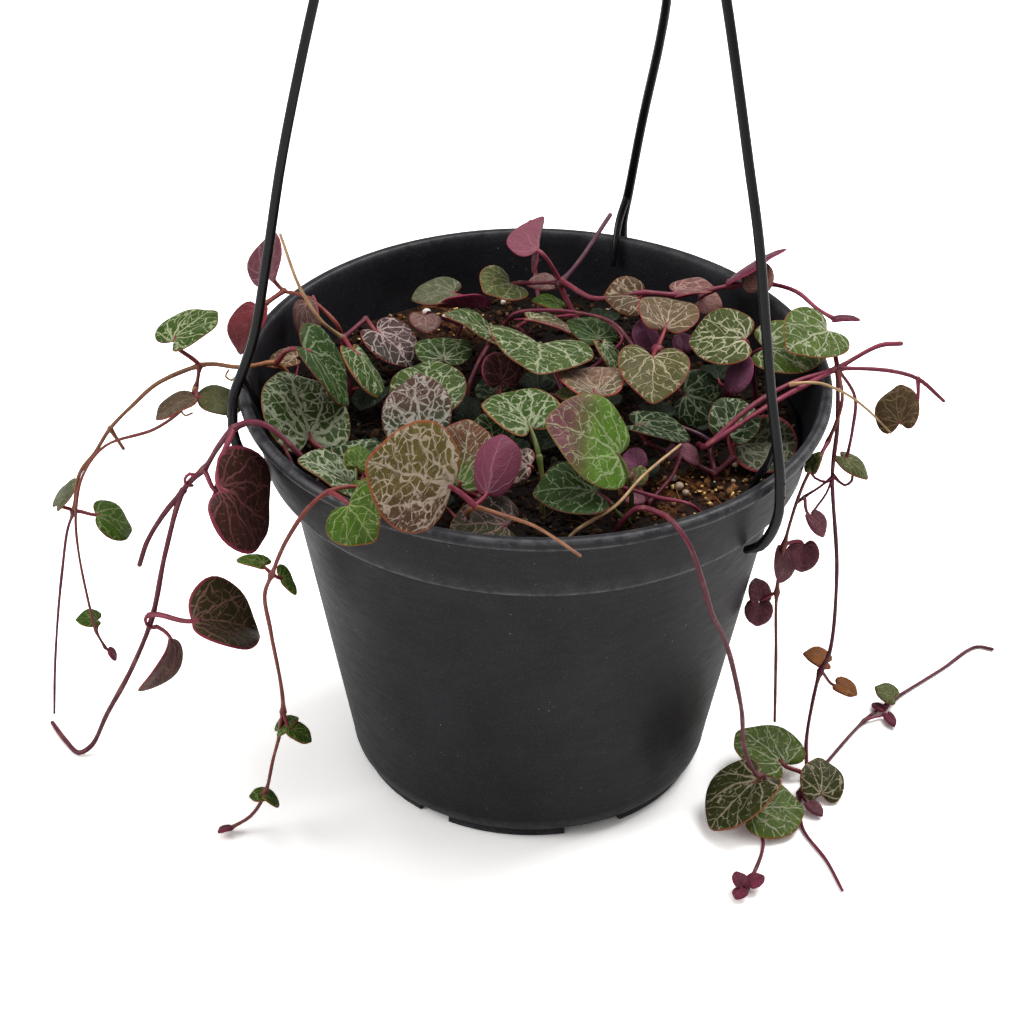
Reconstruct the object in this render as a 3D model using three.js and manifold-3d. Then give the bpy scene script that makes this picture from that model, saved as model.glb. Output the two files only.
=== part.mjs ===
// String of hearts (a Ceropegia) in a black hanging nursery pot.
// Millimetres, +Z up. The origin is on the pot's axis, on the surface that the pot stands on,
// +X is to the right and +Y to the back. Angles are in degrees.
import * as THREE from 'three';
import { mergeVertices } from 'three/addons/utils/BufferGeometryUtils.js';
import Module from 'manifold-3d';

const wasm = await Module();
wasm.setup();

const DEG = Math.PI / 180;
const GAP = 0.3;               // clearance between neighbouring solids

// ---- driving dimensions ----
const RIM_R = 70;              // outside radius of the pot's lip
const RIM_Z = 106.3;           // height of the pot
const WALL = 1.3;              // wall of the pot
const COLLAR_Z = 87.7;         // lower edge of the collar under the lip
const COLLAR_TOP_R = 67.7;     // collar's outside radius just under the lip
const COLLAR_LOW_R = 64.4;     // collar's outside radius at its lower edge
const BODY_TOP_R = 59.8;       // body's outside radius under the collar
const BODY_LOW_R = 44.1;       // body's outside radius above the base's rounding
const FOOT_H = 2.5;            // height of the foot ring
const FOOT_R = 41.6;           // outside radius of the foot ring
const FOOT_W = 2.6;            // width of the foot ring
const FLOOR_TOP_Z = 3.9;       // inside of the pot's floor
const LEDGE_Z = 89.1;          // inside ledge at the collar
const POT_SIDES = 32;

const SOIL_Z = 91.6;           // mean height of the soil
const SOIL_R = 62.6;           // radius of the soil's surface
const HOLE_DEPTH_Z = 83.6;     // bottom of the stems' holes
const ROOT_Z = 84;             // lower end of every stem
const HOLE_CLEAR = 1.0;        // a hole's radius over its stem's radius

const ROD_R = 1.3;             // radius of the hanger's rods
const HUB_Z = 352;             // underside of the hanger's hub
const HOOK_R = 12;             // radius of the hook's centre line
const HOOK_Z = 385;            // centre of the hook

const BLADE = 1;               // thickness of a leaf
const STEM_SIDES = 4;

// ---- solids ----

// A closed three.js geometry as a solid.
function solid(geometry) {
  const plain = geometry.index ? geometry.clone() : geometry;
  plain.deleteAttribute('normal');
  plain.deleteAttribute('uv');
  const merged = mergeVertices(plain, 1e-4);
  return new wasm.Manifold(new wasm.Mesh({
    numProp: 3,
    vertProperties: new Float32Array(merged.attributes.position.array),
    triVerts: new Uint32Array(merged.index.array),
  }));
}

// A solid as a named mesh.
function mesh(name, body, material) {
  const { vertProperties, triVerts } = body.getMesh();
  const geometry = new THREE.BufferGeometry();
  geometry.setAttribute('position', new THREE.BufferAttribute(new Float32Array(vertProperties), 3));
  geometry.setIndex(new THREE.BufferAttribute(new Uint32Array(triVerts), 1));
  geometry.computeVertexNormals();
  const part = new THREE.Mesh(geometry, material);
  part.name = name;
  return part;
}

function join(bodies) {
  return bodies.reduce((whole, body) => whole.add(body));
}

// A solid of revolution about Z from [radius, height] points.
function lathe(profile, sides) {
  const points = profile.map(([r, z]) => new THREE.Vector2(r, z));
  return new THREE.LatheGeometry(points, sides).rotateX(Math.PI / 2);
}

// A smooth path that is sampled at each of its points, and between those further apart than a step.
class Path extends THREE.Curve {
  constructor(points, step) {
    super();
    const smooth = new THREE.CatmullRomCurve3(points.map((p) => new THREE.Vector3(...p)), false, 'centripetal');
    const spans = points.length - 1;
    this.samples = [smooth.getPoint(0)];
    for (let i = 0; i < spans; i += 1) {
      const away = Math.hypot(...points[i].map((value, k) => points[i + 1][k] - value));
      const parts = Math.max(1, Math.round(away / step));
      for (let k = 1; k <= parts; k += 1) this.samples.push(smooth.getPoint((i + k / parts) / spans));
    }
    this.steps = this.samples.length - 1;
  }

  getPointAt(u) {
    const at = u * this.steps;
    const i = Math.min(Math.floor(at), this.steps - 1);
    return this.samples[i].clone().lerp(this.samples[i + 1], at - i);
  }

  getTangentAt(u) {
    const i = Math.round(u * this.steps);
    const [before, after] = [Math.max(i - 1, 0), Math.min(i + 1, this.steps)];
    return this.samples[after].clone().sub(this.samples[before]).normalize();
  }
}

// A regular polygon as the section of a rod.
function ngon(radius, sides) {
  const corners = Array.from({ length: sides }, (_, i) => {
    const a = (2 * Math.PI * i) / sides;
    return new THREE.Vector2(radius * Math.cos(a), radius * Math.sin(a));
  });
  return new THREE.Shape(corners);
}

// A rod of one section along a curve through the points, in steps of about the given length.
function rod(points, radius, step, sides = STEM_SIDES) {
  const path = new Path(points, step);
  const shape = { steps: path.steps, extrudePath: path, bevelEnabled: false };
  return solid(new THREE.ExtrudeGeometry(ngon(radius, sides), shape));
}

// ---- leaves ----

// Directions of the outline's points, from the tip (0) round one lobe to the notch (180).
const HEART_ANGLES = [0, 35, 80, 125, 156, 180];
const SMALL_HEART_ANGLES = [0, 60, 145, 180];
const SMALL = 9.5;             // leaves under this width have the fewer points
const ROUND_BACK = 0.555;      // the outline's reach behind its centre without a notch, in widths

// Distance from the outline's centre to the edge, in leaf widths: nearly round, a little wider
// to the notch's side, with a small tip and a notch of the given depth between two lobes.
function heartRadius(angle, notch) {
  const a = angle * DEG;
  const tip = 0.055 * Math.exp(-((a / 0.3) ** 2));
  const cut = notch * Math.exp(-(((Math.PI - a) / 0.36) ** 2));
  return 0.455 + 0.05 * (1 - Math.cos(a)) + tip - cut;
}

// The leaf's own axes: along its midrib, across to the left, and up from its face.
function leafAxes([heading, pitch, roll]) {
  const h = heading * DEG;
  const p = pitch * DEG;
  const along = new THREE.Vector3(Math.cos(h) * Math.cos(p), Math.sin(h) * Math.cos(p), Math.sin(p));
  const level = new THREE.Vector3(-Math.sin(h), Math.cos(h), 0);
  const lift = along.clone().cross(level);
  const across = level.multiplyScalar(Math.cos(roll * DEG)).addScaledVector(lift, Math.sin(roll * DEG));
  return { along, across, up: along.clone().cross(across) };
}

// A heart-shaped blade. `at` is its notch, `aim` its heading, pitch and roll. Its halves are
// raised by `fold`, its tip bends down by `curl` over its length, and `notch` is the notch's depth.
function blade({ at, aim, width, fold = 12, curl = 12, long = 1, notch: cut = 0.26 }) {
  const { along, across, up } = leafAxes(aim);
  const length = 0.8 * width * long;
  const bendR = length / (curl * DEG);
  const place = (s, t, offset) => {
    const run = bendR * Math.sin(t / bendR);
    const lift = Math.abs(s) * Math.sin(fold * DEG) - bendR * (1 - Math.cos(t / bendR)) + offset;
    return new THREE.Vector3(...at)
      .addScaledVector(along, run)
      .addScaledVector(across, s * Math.cos(fold * DEG))
      .addScaledVector(up, lift);
  };
  const angles = width < SMALL ? SMALL_HEART_ANGLES : HEART_ANGLES;
  const right = angles.map((a) => [-1, a]);
  const left = angles.slice(1, -1).reverse().map((a) => [1, a]);
  const edge = [...right, ...left].map(([side, a]) => {
    const r = heartRadius(a, cut) * width;
    return [side * r * Math.sin(a * DEG), (r * Math.cos(a * DEG) + (ROUND_BACK - cut) * width) * long];
  });
  const half = (width < SMALL ? 0.4 : 0.5) * BLADE;
  const points = [half, -half].flatMap((offset) => edge.map(([s, t]) => place(s, t, offset)));
  const n = edge.length;
  const notch = angles.length - 1;
  const index = [];
  for (let a = 0; a < n; a += 1) {
    const b = (a + 1) % n;
    index.push(a, b, n + b, a, n + b, n + a);
    if (a !== notch && b !== notch) index.push(notch, b, a, n + notch, n + a, n + b);
  }
  const geometry = new THREE.BufferGeometry().setFromPoints(points);
  geometry.setIndex(index);
  return solid(geometry);
}

// A leaf stalk from a point of the stem into the blade's notch, coming up from below it.
function stalk(from, { at, aim, width }) {
  const { along, up } = leafAxes(aim);
  const start = new THREE.Vector3(...from);
  const notch = new THREE.Vector3(...at);
  const reach = start.distanceTo(notch);
  const rise = start.clone().lerp(notch, 0.35).add(new THREE.Vector3(0, 0, 0.12 * reach));
  const bend = notch.clone().addScaledVector(along, -0.22 * reach).addScaledVector(up, -0.2 * reach);
  const end = notch.clone().addScaledVector(along, 0.06 * width);
  const path = new THREE.CubicBezierCurve3(start, rise, bend, end);
  const radius = 0.32 + 0.012 * width;
  return solid(new THREE.ExtrudeGeometry(ngon(radius, 3), { steps: 2, extrudePath: path, bevelEnabled: false }));
}

// The point of the shoots nearest a leaf's notch, with its shoot's radius.
function nearestJoint(shoots, at) {
  const notch = new THREE.Vector3(...at);
  let best = null;
  for (const { path, radius } of shoots) {
    for (const point of path.slice(1)) {
      const away = notch.distanceTo(new THREE.Vector3(...point));
      if (best === null || away < best.away) best = { point, radius, away };
    }
  }
  return best;
}

// A leafy stem: rods along its shoots, its leaves with their stalks, and a knot at each joint.
function leafyStem({ shoots, leaves }) {
  const bodies = shoots.map(({ path, radius }) => rod(path, radius, 22, radius > 0.65 ? 4 : 3));
  for (const leaf of leaves) {
    const { point, radius } = nearestJoint(shoots, leaf.at);
    bodies.push(stalk(point, leaf), blade(leaf));
  }
  return join(bodies);
}

// ---- the leafy stems ----
// shoots: [radius, points...]; the first starts in the soil, the others on a point of an earlier
// shoot. leaves: [notch x, y, z, heading, pitch, roll, width, {other shape}]; each hangs on the
// nearest point of its shoots.
const PLANTS = {
  stem_left_01: {
    shoots: [[0.65, [-49, -24, ROOT_Z], [-49, -24, 94], [-49, -22, 98]]],
    leaves: [[-52, -21, 100.5, 109, 33, 22, 24]],
  },
  stem_left_02: {
    shoots: [
      [0.65, [-44, 11, ROOT_Z], [-44, 11, 94], [-46, 13, 100], [-46, 15, 106]],
      [0.6, [-46, 15, 106], [-41, 24, 106]],
      [0.45, [-46, 15, 106], [-51, 13, 112], [-56, 16, 119], [-61, 24, 129]],
    ],
    leaves: [[-42.5, 9, 106, 317, -35, -35, 17, { fold: -6 }], [-38, 20, 105, 324, -23, -2, 15]],
  },
  stem_left_03: {
    shoots: [
      [0.7, [-30, -12, ROOT_Z], [-30, -12, 94], [-29, -10, 98], [-27, -10, 101]],
      [0.6, [-30, -12, 94], [-29, -22, 98], [-27, -28, 103]],
      [0.5, [-30, -12, 94], [-28, 0, 96], [-24, 8, 99]],
    ],
    leaves: [
      [-22, 12, 102, 89, 5, 2, 14],
      [-25, -12, 105, 91, 20, -6, 18, { fold: 6 }],
      [-26, -31, 107, 100, 44, -23, 17, { fold: 15, long: 1.09, notch: 0.18 }],
    ],
  },
  stem_front_01: {
    shoots: [
      [0.65, [-40, -37, ROOT_Z], [-40, -37, 94], [-40, -41, 98], [-38, -43, 103], [-38, -43, 106]],
      [0.6, [-40, -37, 94], [-41, -33, 97]],
    ],
    leaves: [
      [-42, -43, 103, 180, 37, 5, 16],
      [-41, -29, 99, 70, 14, -5, 12],
      [-40, -43, 107.5, 80, 35, 20, 7],
      [-39, -45, 105, 295, -20, 0, 5],
    ],
  },
  stem_front_02: {
    shoots: [
      [0.65, [-14, -50, ROOT_Z], [-14, -50, 94], [-14, -52, 99], [-15, -57, 105], [-13, -60, 108.5],
        [-6, -64, 109], [0, -67, 108.6], [5, -71, 107.8], [10, -75, 106.5]],
      [0.6, [-14, -50, 94], [-11, -54, 97]],
    ],
    leaves: [
      [-18, -61, 114.5, 216, 34, -72, 25, { fold: 4, curl: 6, notch: 0.07 }],
      [-10.4, -53.2, 107.7, 75, 66, 178, 14, { fold: 42, curl: -48, long: 1.1, notch: 0.1 }],
      [-6, -56, 101, 180, 4, -16, 16],
    ],
  },
  stem_middle_01: {
    shoots: [
      [0.7, [-10, -37, ROOT_Z], [-10, -37, 94], [-13, -40.5, 98]],
      [0.6, [-10, -37, 94], [-8, -31, 97], [-7, -28, 99]],
    ],
    leaves: [
      [-17, -45, 104, 79, 45, 8, 16, { fold: 26, long: 1.12, notch: 0.15 }],
      [-8.6, -28, 103, 111, 35, 14, 12, { fold: 2 }],
      [-1, -36, 104, 142, -19, -43, 9, { fold: -2, notch: 0.12 }],
    ],
  },
  stem_middle_02: {
    shoots: [[0.65, [2, -38, ROOT_Z], [2, -38, 94], [2, -37, 99], [1, -34, 105]]],
    leaves: [[-1, -29, 110, 121, 8, 1, 19, { fold: 22 }]],
  },
  stem_front_03: {
    shoots: [
      [0.65, [21, -42, ROOT_Z], [21, -42, 94], [22, -44, 100], [21, -46, 108]],
      [0.6, [21, -42, 94], [19, -48, 99], [17, -51, 104]],
    ],
    leaves: [[19, -45, 113, 194, 39, -31, 23, { fold: 9, notch: 0.2 }], [14, -51, 107, 180, 6, -9, 18]],
  },
  stem_middle_03: {
    shoots: [
      [0.65, [8, -3, ROOT_Z], [8, -3, 94], [7, 1, 99], [3, 9, 105]],
      [0.6, [8, -3, 94], [13, -11, 98], [15, -14, 104]],
    ],
    leaves: [
      [1, 8, 110, 270, 18, -12, 26, { fold: 14 }],
      [14, -11, 108, 106, 0, 4, 17, { fold: 22 }],
      [1, 6, 98, 95, 13, -2, 9],
    ],
  },
  stem_middle_04: {
    shoots: [
      [0.65, [-15, 1, ROOT_Z], [-15, 1, 94], [-16, 2, 99], [-13, 8, 105], [-10, 13, 108]],
      [0.5, [-15, 1, 94], [-11, -1, 96], [-8, -2, 100]],
    ],
    leaves: [
      [-11, 17, 106, 172, 34, 15, 15],
      [-8, 1, 103, 99, 42, 17, 10],
      [-9, 2, 99, 86, 14, -13, 11.4, { fold: 0 }],
      [-16, -7, 98, 94, 28, -3, 8.3],
    ],
  },
  stem_back_01: {
    shoots: [
      [0.65, [8, 19, ROOT_Z], [8, 19, 94], [4, 20, 98], [-4, 23, 105]],
      [0.6, [8, 19, 94], [14, 18, 97], [17, 18, 100]],
      [0.5, [17, 18, 100], [21, 20, 104], [15, 26, 106.5], [4, 28, 105], [-5, 28, 104]],
    ],
    leaves: [
      [-1, 22, 108, 356, -10, -19, 13],
      [15, 21, 103, 118, 11, 11, 13],
      [16, 17, 104, 307, -32, -31, 10],
    ],
  },
  stem_back_02: {
    shoots: [
      [0.65, [-20, 29, ROOT_Z], [-20, 29, 94], [-18, 32, 100], [-15, 35, 105]],
      [0.5, [-18, 32, 100], [-26, 32, 103]],
    ],
    leaves: [
      [-20, 37, 106, 185, 0, 0, 13],
      [-27, 29, 104, 279, -3, -4, 8],
      [-13, 33, 105, 180, 6, 43, 14],
    ],
  },
  runner_back: {
    shoots: [
      [0.75, [12, 31, ROOT_Z], [12, 31, 94], [10, 33, 101], [6, 36, 110], [14, 27, 111],
        [26, 30, 111], [35, 31, 110], [48, 35, 110.5], [56, 37, 110], [63, 33, 110.3],
        [68, 27, 109], [72, 23, 108.5]],
      [0.55, [6, 36, 110], [-4, 37, 109]],
      [0.6, [6, 36, 110], [10, 40, 113], [18, 52, 120]],
    ],
    leaves: [
      [25, 29, 110, 197, 15, -34, 11],
      [0, 33.4, 120, 90, 4, -131, 16.5, { fold: 55 }],
      [-6, 36, 109.5, 233, 17, -19, 13],
      [4, 42, 106, 180, 5, 0, 8],
      [6, 34, 104, 176, 22, 9, 9],
      [46, 34.3, 111.5, 18, 36, -34, 15, { fold: -4, long: 1.1, notch: 0.05 }],
      [54, 31.6, 112, 94, 52, -23, 8.6, { fold: 22 }],
      [34, 35.2, 108.5, 355, 15, -9, 12],
      [72, 22, 109, 5, 6, -18, 5, { long: 1.5 }],
    ],
  },
  stem_right_01: {
    shoots: [[0.65, [29, 7, ROOT_Z], [29, 7, 94], [29, 8, 100], [29, 10, 107]]],
    leaves: [[31, 16, 110, 80, 7, 7, 16, { fold: 22 }], [27.6, 0.9, 111, 269, -11, -3, 17.7, { fold: 18, curl: 6, long: 1.04 }]],
  },
  stem_right_02: {
    shoots: [
      [0.65, [44, 3, ROOT_Z], [44, 3, 94], [46, 4, 100], [50, 8, 108]],
      [0.6, [44, 3, 94], [39, 4, 98], [35, 4, 102]],
    ],
    leaves: [
      [49.6, 5.8, 113, 171, -5, -20, 17.3, { curl: 6, long: 0.92, notch: 0.2 }],
      [35, -5, 104, 11, -22, 52, 13.8, { fold: 5 }],
      [46, -2, 103, 68, 47, -37, 10, { fold: -7, notch: 0.05 }],
    ],
  },
  stem_right_03: {
    shoots: [[0.65, [53, 12, ROOT_Z], [53, 12, 94], [52, 11, 100], [52, 9, 107]]],
    leaves: [[54, 8, 109.4, 355, -5, 14, 18, { curl: 2 }]],
  },
  stem_right_04: {
    shoots: [
      [0.65, [42, -23, ROOT_Z], [42, -23, 94], [41, -18, 96], [41, -14, 97]],
      [0.6, [42, -23, 94], [34, -21, 97], [26, -21, 101]],
      [0.6, [42, -23, 94], [46, -21, 97]],
    ],
    leaves: [
      [45, -18.5, 102, 70, 30, 18, 13, { fold: 24 }],
      [23.4, -21, 106, 348, -4, -12, 16],
      [46.5, -16.5, 98, 15, -8, 60, 16.4, { fold: 34, long: 1.1, notch: 0.12 }],
    ],
  },
  stem_front_04: {
    shoots: [
      [0.7, [26, -36, ROOT_Z], [26, -36, 94], [24, -37, 98], [22, -35, 101]],
      [0.5, [26, -36, 94], [32, -28, 97], [33.5, -24, 99]],
      [0.5, [24, -37, 98], [21, -40, 98]],
    ],
    leaves: [
      [24, -31.6, 101, 122, 27, -31, 7, { fold: 36 }],
      [25.5, -33, 100, 60, 38, -5, 5.8],
      [34, -20.5, 99, 333, -25, -7, 7],
      [21.4, -40.8, 99, 351, -1, 15, 5],
    ],
  },
  dried_stem_front: {
    shoots: [[0.55, [7, -55, ROOT_Z], [7, -55, 94], [9, -58, 101], [18, -54, 105.5], [24, -46, 108], [33, -34, 109]]],
    leaves: [],
  },
  runner_left: {
    shoots: [
      [0.65, [-44, 26, ROOT_Z], [-44, 26, 94], [-46, 22, 100], [-48, 19, 108], [-54, 24, 111],
        [-58, 28, 110.5], [-61, 30, 110], [-64, 31, 113]],
      [0.6, [-61, 30, 110], [-65, 22, 111]],
    ],
    leaves: [
      [-64.7, 28.3, 115, 89, 46, -51, 14, { fold: 15 }],
      [-66.5, 15.5, 112.7, 234, -42, 21, 13.7, { fold: 17 }],
      [-55, 25, 109, 280, -50, 65, 13],
    ],
  },
  trailing_stem_left_outer: {
    shoots: [
      [0.65, [-55, 3, ROOT_Z], [-55, 3, 94], [-57, 2, 101], [-61, 0, 108], [-66, -2, 108.5],
        [-70, -2, 108], [-76, 0, 107.5], [-79, 0, 107], [-89, 0, 102], [-95, 0, 96],
        [-101, 0, 89], [-105, 0, 82], [-109, 0, 76], [-111, 0, 65]],
      [0.45, [-111, 0, 65], [-113, 1, 59], [-115, 1, 47], [-117, 2, 33], [-119, 3, 15], [-120, 3, 1]],
      [0.45, [-79, 0, 107], [-80, -2, 102], [-83, -3, 97], [-90, -3, 91], [-102, -3, 86],
        [-108, -3, 77], [-110, -4, 67], [-110, -4, 56], [-108, -4, 38], [-107, -4, 32], [-105, -4, 27]],
      [0.5, [-101, 0, 89], [-98, -1, 84]],
    ],
    leaves: [
      [-53, -10, 118.5, 355, -50, -3, 22],
      [-57, 7, 105, 184, -6, 2, 9],
      [-85, 0, 114, 39, 23, -10, 16, { fold: 7 }],
      [-79.5, -4.4, 101, 197, -14, 8, 10.7, { notch: 0.03 }],
      [-79.3, -4.6, 101, 7, -5, 7, 11, { fold: 0, notch: 0.03 }],
      [-115.3, 1.8, 66, 42, 47, -28, 9.4, { fold: -4 }],
      [-105.8, 0.3, 64, 24, -30, 22, 12, { fold: 0, notch: 0.1 }],
      [-107, -0.5, 33, 184, 8, -5, 6.7],
      [-104, -4, 26, 0, -55, 0, 4],
    ],
  },
  trailing_stem_left_inner: {
    shoots: [
      [0.8, [-48, -28, ROOT_Z], [-48, -28, 94], [-51, -32, 100], [-57, -30, 106], [-61, -28, 108.4],
        [-65, -27, 108.8], [-69, -27, 107], [-73, -24, 100], [-77, -20, 91], [-79, -20, 89], [-82, -20, 85],
        [-87, -20, 67], [-91, -20, 48], [-97, -18, 31], [-104, -15, 15], [-109, -13, 3],
        [-112, -13, 1], [-116, -8, 1], [-120, -1, 1]],
      [0.7, [-82, -20, 85], [-87, -20, 78], [-91, -21, 71], [-93, -22, 65]],
    ],
    leaves: [
      [-71, -38.5, 98, 22, -46, 41, 26, { long: 0.88 }],
      [-74, -24, 88, 90, -45, 90, 22, { fold: 17, notch: 0.1 }],
      [-80.5, -26, 52, 19, -18, 18, 24, { fold: 27, long: 0.8, notch: 0.12 }],
      [-86, -22.8, 44, 259, -47, -81, 13, { fold: 19, curl: 40, long: 1.17, notch: 0.05 }],
    ],
  },
  trailing_stem_front_left: {
    shoots: [
      [0.6, [-34, -44, ROOT_Z], [-34, -44, 94], [-36, -48, 101], [-40, -51, 107.6], [-46, -54, 108],
        [-50, -57, 106], [-55, -58, 98], [-59, -55, 86], [-61, -52, 78], [-60, -50, 66],
        [-58, -47, 41], [-61, -46, 25], [-63, -45, 15], [-67, -43, 6], [-72, -42, 1.4]],
    ],
    leaves: [
      [-41, -62, 110, 296, -6, 41, 15],
      [-61, -54, 88, 159, 6, 15, 8],
      [-57, -52, 83, 44, -43, 33, 8],
      [-59, -48, 36, 21, 38, -12, 7],
      [-56, -50, 38, 350, -22, 0, 7],
      [-63, -44, 13.4, 184, 2, -7, 5],
      [-63, -46, 15, 7, -40, 0, 6],
      [-72, -43, 2.2, 200, 0, 20, 4],
    ],
  },
  trailing_stem_front_right: {
    shoots: [
      [0.7, [18, -50, ROOT_Z], [18, -50, 94], [19, -54, 100], [23, -57, 107], [28, -61, 108.3],
        [31, -65, 108.2], [34, -68, 105], [37, -67, 96], [40, -64, 84], [44, -59, 72],
        [49, -52, 48], [51, -44, 30], [55, -37, 16], [57, -31, 11.5], [58, -30, 7], [55, -34, 2],
        [57, -44, 1], [54, -56, 1], [52, -61, 1.2]],
    ],
    leaves: [
      [56, -32, 11, 217, -23, 11, 21],
      [54.5, -36.5, 4.8, 14, -4, 17, 17, { fold: 4, curl: 6 }],
      [51, -62, 2.6, 110, 30, 20, 5],
      [53, -61, 2.4, 30, 20, 0, 5],
      [51, -63, 2, 240, 0, 0, 4],
    ],
  },
  trailing_stem_right: {
    shoots: [
      [0.8, [38.5, -10, ROOT_Z], [38.5, -10, 93], [39, -16, 97], [40, -24, 102.5], [49, -18.5, 106.2], [56, -13.5, 108.2],
        [62.6, -8, 109], [71, 0, 109], [81, 4, 113], [86, 5, 113]],
      [0.7, [40, -24, 102.5], [49.5, -16.5, 108], [59, -8.5, 109.6], [71, 0, 109]],
      [0.6, [71, 0, 109], [79.5, -1, 109.5], [85, -1, 108.8], [90, -1, 107], [96.5, -1, 101]],
      [0.6, [71, 0, 109], [72, 0, 93], [71.7, 0, 79], [74.5, -1, 51], [74, -3, 28], [72, -4, 23],
        [70, -8, 14], [69, -12, 7], [69, -18, 1.4], [67, -25, 1.1], [67, -38, 0.7], [72, -50, 0.6],
        [75, -61, 0.8]],
      [0.5, [71, 0, 109], [72, -6, 104], [69, -10, 95], [64, -12, 85], [60, -14, 68],
        [59, -14, 54], [60, -12, 34], [61, -10, 12]],
      [0.45, [71, 0, 109], [76, 3, 99], [76, 3, 90], [75, 2, 82]],
      [0.45, [67, -25, 1.1], [75, -11, 0.7], [85, 5, 0.9], [93, 14, 0.9], [107, 28, 0.6],
        [117, 38, 0.6], [121, 37, 0.6]],
      [0.45, [59.5, -8.8, 109.8], [61.5, -9.4, 110.6], [66.3, -8.3, 109.9], [72.4, -7.2, 106.6], [78, -6.2, 101.6],
        [84, -6, 95]],
      [0.45, [90, -1, 107], [90, -3, 101], [88, -4, 97.5]],
    ],
    leaves: [
      [69, 9, 114, 226, 7, -19, 17],
      [86.2, -3.5, 96, 95, 42, -41, 12.4],
      [74, 1.7, 83, 327, -20, -17, 10, { fold: 2 }],
      [64.7, -19, 92.7, 59, 52, -34, 6],
      [60.7, -12, 65, 269, -58, -52, 9.9, { fold: 5 }],
      [65, -9.5, 65, 263, -69, -5, 8.9, { fold: 30 }],
      [55.2, -13, 51, 102, 50, 19, 6.9],
      [55.1, -13.6, 50.4, 258, -55, -1, 7.1],
      [74, 0, 23, 169, 23, 0, 8],
      [77, 0, 16, 344, -13, 0, 7],
      [63, -18, 5, 140, 18, 0, 18],
      [72, -27, 2.5, 88, 38, 18, 12],
      [69, -30, 2, 310, -5, 0, 4, { long: 1.5 }],
      [93, 12, 3, 161, 29, -6, 7],
      [90, 9, 1.6, 130, 0, 0, 3, { long: 1.6 }],
      [91, 7, 1.6, 290, 0, 0, 3, { long: 2 }],
    ],
  },
  trailing_stem_back: {
    shoots: [
      [0.65, [1, 50, ROOT_Z], [1, 50, 94], [0, 56, 100], [-1, 63, 108], [-1, 68, 108.5],
        [-2, 73, 105], [-4, 74, 98], [-8, 73, 88], [-14, 72, 62], [-17, 70, 42], [-19, 69, 20],
        [-24, 68, 4], [-30, 65, 1]],
      [0.6, [-2, 73, 105], [6, 73, 96], [15, 73, 78], [21, 71, 58], [24, 68, 40]],
    ],
    leaves: [
      [-10, 72, 86, 185, -50, 30, 14],
      [-12, 71, 60, 350, -40, 20, 13],
      [-19, 69, 40, 190, -45, 0, 11],
      [-21, 68, 20, 190, -20, 10, 9],
      [9, 72, 94, 355, -50, -20, 13],
      [17, 71, 76, 340, -30, 0, 12],
      [25, 67, 40, 350, -60, 0, 8],
    ],
  },
};

// ---- pot ----
// The wall's profile from the floor's underside on the axis, over the foot ring, up the outside,
// over the lip and down the inside.
const POT_PROFILE = [
  [0, FOOT_H], [FOOT_R - FOOT_W, FOOT_H], [FOOT_R - FOOT_W, 0], [FOOT_R, 0], [FOOT_R, FOOT_H],
  [43.4, 3.6], [BODY_LOW_R, 6.5], [BODY_TOP_R, COLLAR_Z],
  [COLLAR_LOW_R, COLLAR_Z], [COLLAR_TOP_R, 103.6], [RIM_R, 103.9], [RIM_R, 105.7], [69.3, RIM_Z],
  [67.9, RIM_Z], [67.3, 105.4], [66.3, 103], [COLLAR_LOW_R - WALL, LEDGE_Z],
  [BODY_TOP_R - WALL, LEDGE_Z], [BODY_LOW_R - WALL, 5.1], [41.4, FLOOR_TOP_Z], [0, FLOOR_TOP_Z],
];
// The foot ring's gaps, three of each kind: [start, end], degrees from the front to the right.
const FOOT_GAPS = [[12.4, 32.8], [-39.3, -27.6]];
const DRAIN_COUNT = 4;
const DRAIN_R = 3;
const DRAIN_AT_R = 26;

// An upright prism over a sector of a ring.
function sector(inner, outer, [start, end], low, high) {
  const corner = (r, a) => new THREE.Vector2(r * Math.sin(a * DEG), -r * Math.cos(a * DEG));
  const shape = new THREE.Shape([corner(inner, start), corner(outer, start), corner(outer, end), corner(inner, end)]);
  const prism = new THREE.ExtrudeGeometry(shape, { depth: high - low, bevelEnabled: false });
  return solid(prism.translate(0, 0, low));
}

function upright(radius, x, y, low, high, sides) {
  const drum = new THREE.CylinderGeometry(radius, radius, high - low, sides).rotateX(Math.PI / 2);
  return solid(drum.translate(x, y, (low + high) / 2));
}

function makePot() {
  let pot = solid(lathe(POT_PROFILE, POT_SIDES));
  for (const [start, end] of FOOT_GAPS) {
    for (let turn = 0; turn < 360; turn += 120) {
      pot = pot.subtract(sector(FOOT_R - 6, FOOT_R + 0.1, [start + turn, end + turn], -1, FOOT_H));
    }
  }
  for (let i = 0; i < DRAIN_COUNT; i += 1) {
    const a = ((i + 0.5) * 2 * Math.PI) / DRAIN_COUNT;
    pot = pot.subtract(upright(DRAIN_R, DRAIN_AT_R * Math.cos(a), DRAIN_AT_R * Math.sin(a), 1, 5, 6));
  }
  return pot;
}

// ---- soil ----
// The plug's section, a clearance inside the pot's floor, wall and ledge.
const SOIL_PROFILE = [
  [0, 4.2], [41.2, 4.2], [42.4, 5.4], [58.1, LEDGE_Z - 0.3], [58.1, LEDGE_Z + 0.4], [SOIL_R, LEDGE_Z + 0.4],
  [SOIL_R, SOIL_Z], [51, SOIL_Z], [38, SOIL_Z], [24, SOIL_Z], [0, SOIL_Z],
];
const SOIL_SIDES = 24;
const GRAIN_COUNT = 9;

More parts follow.
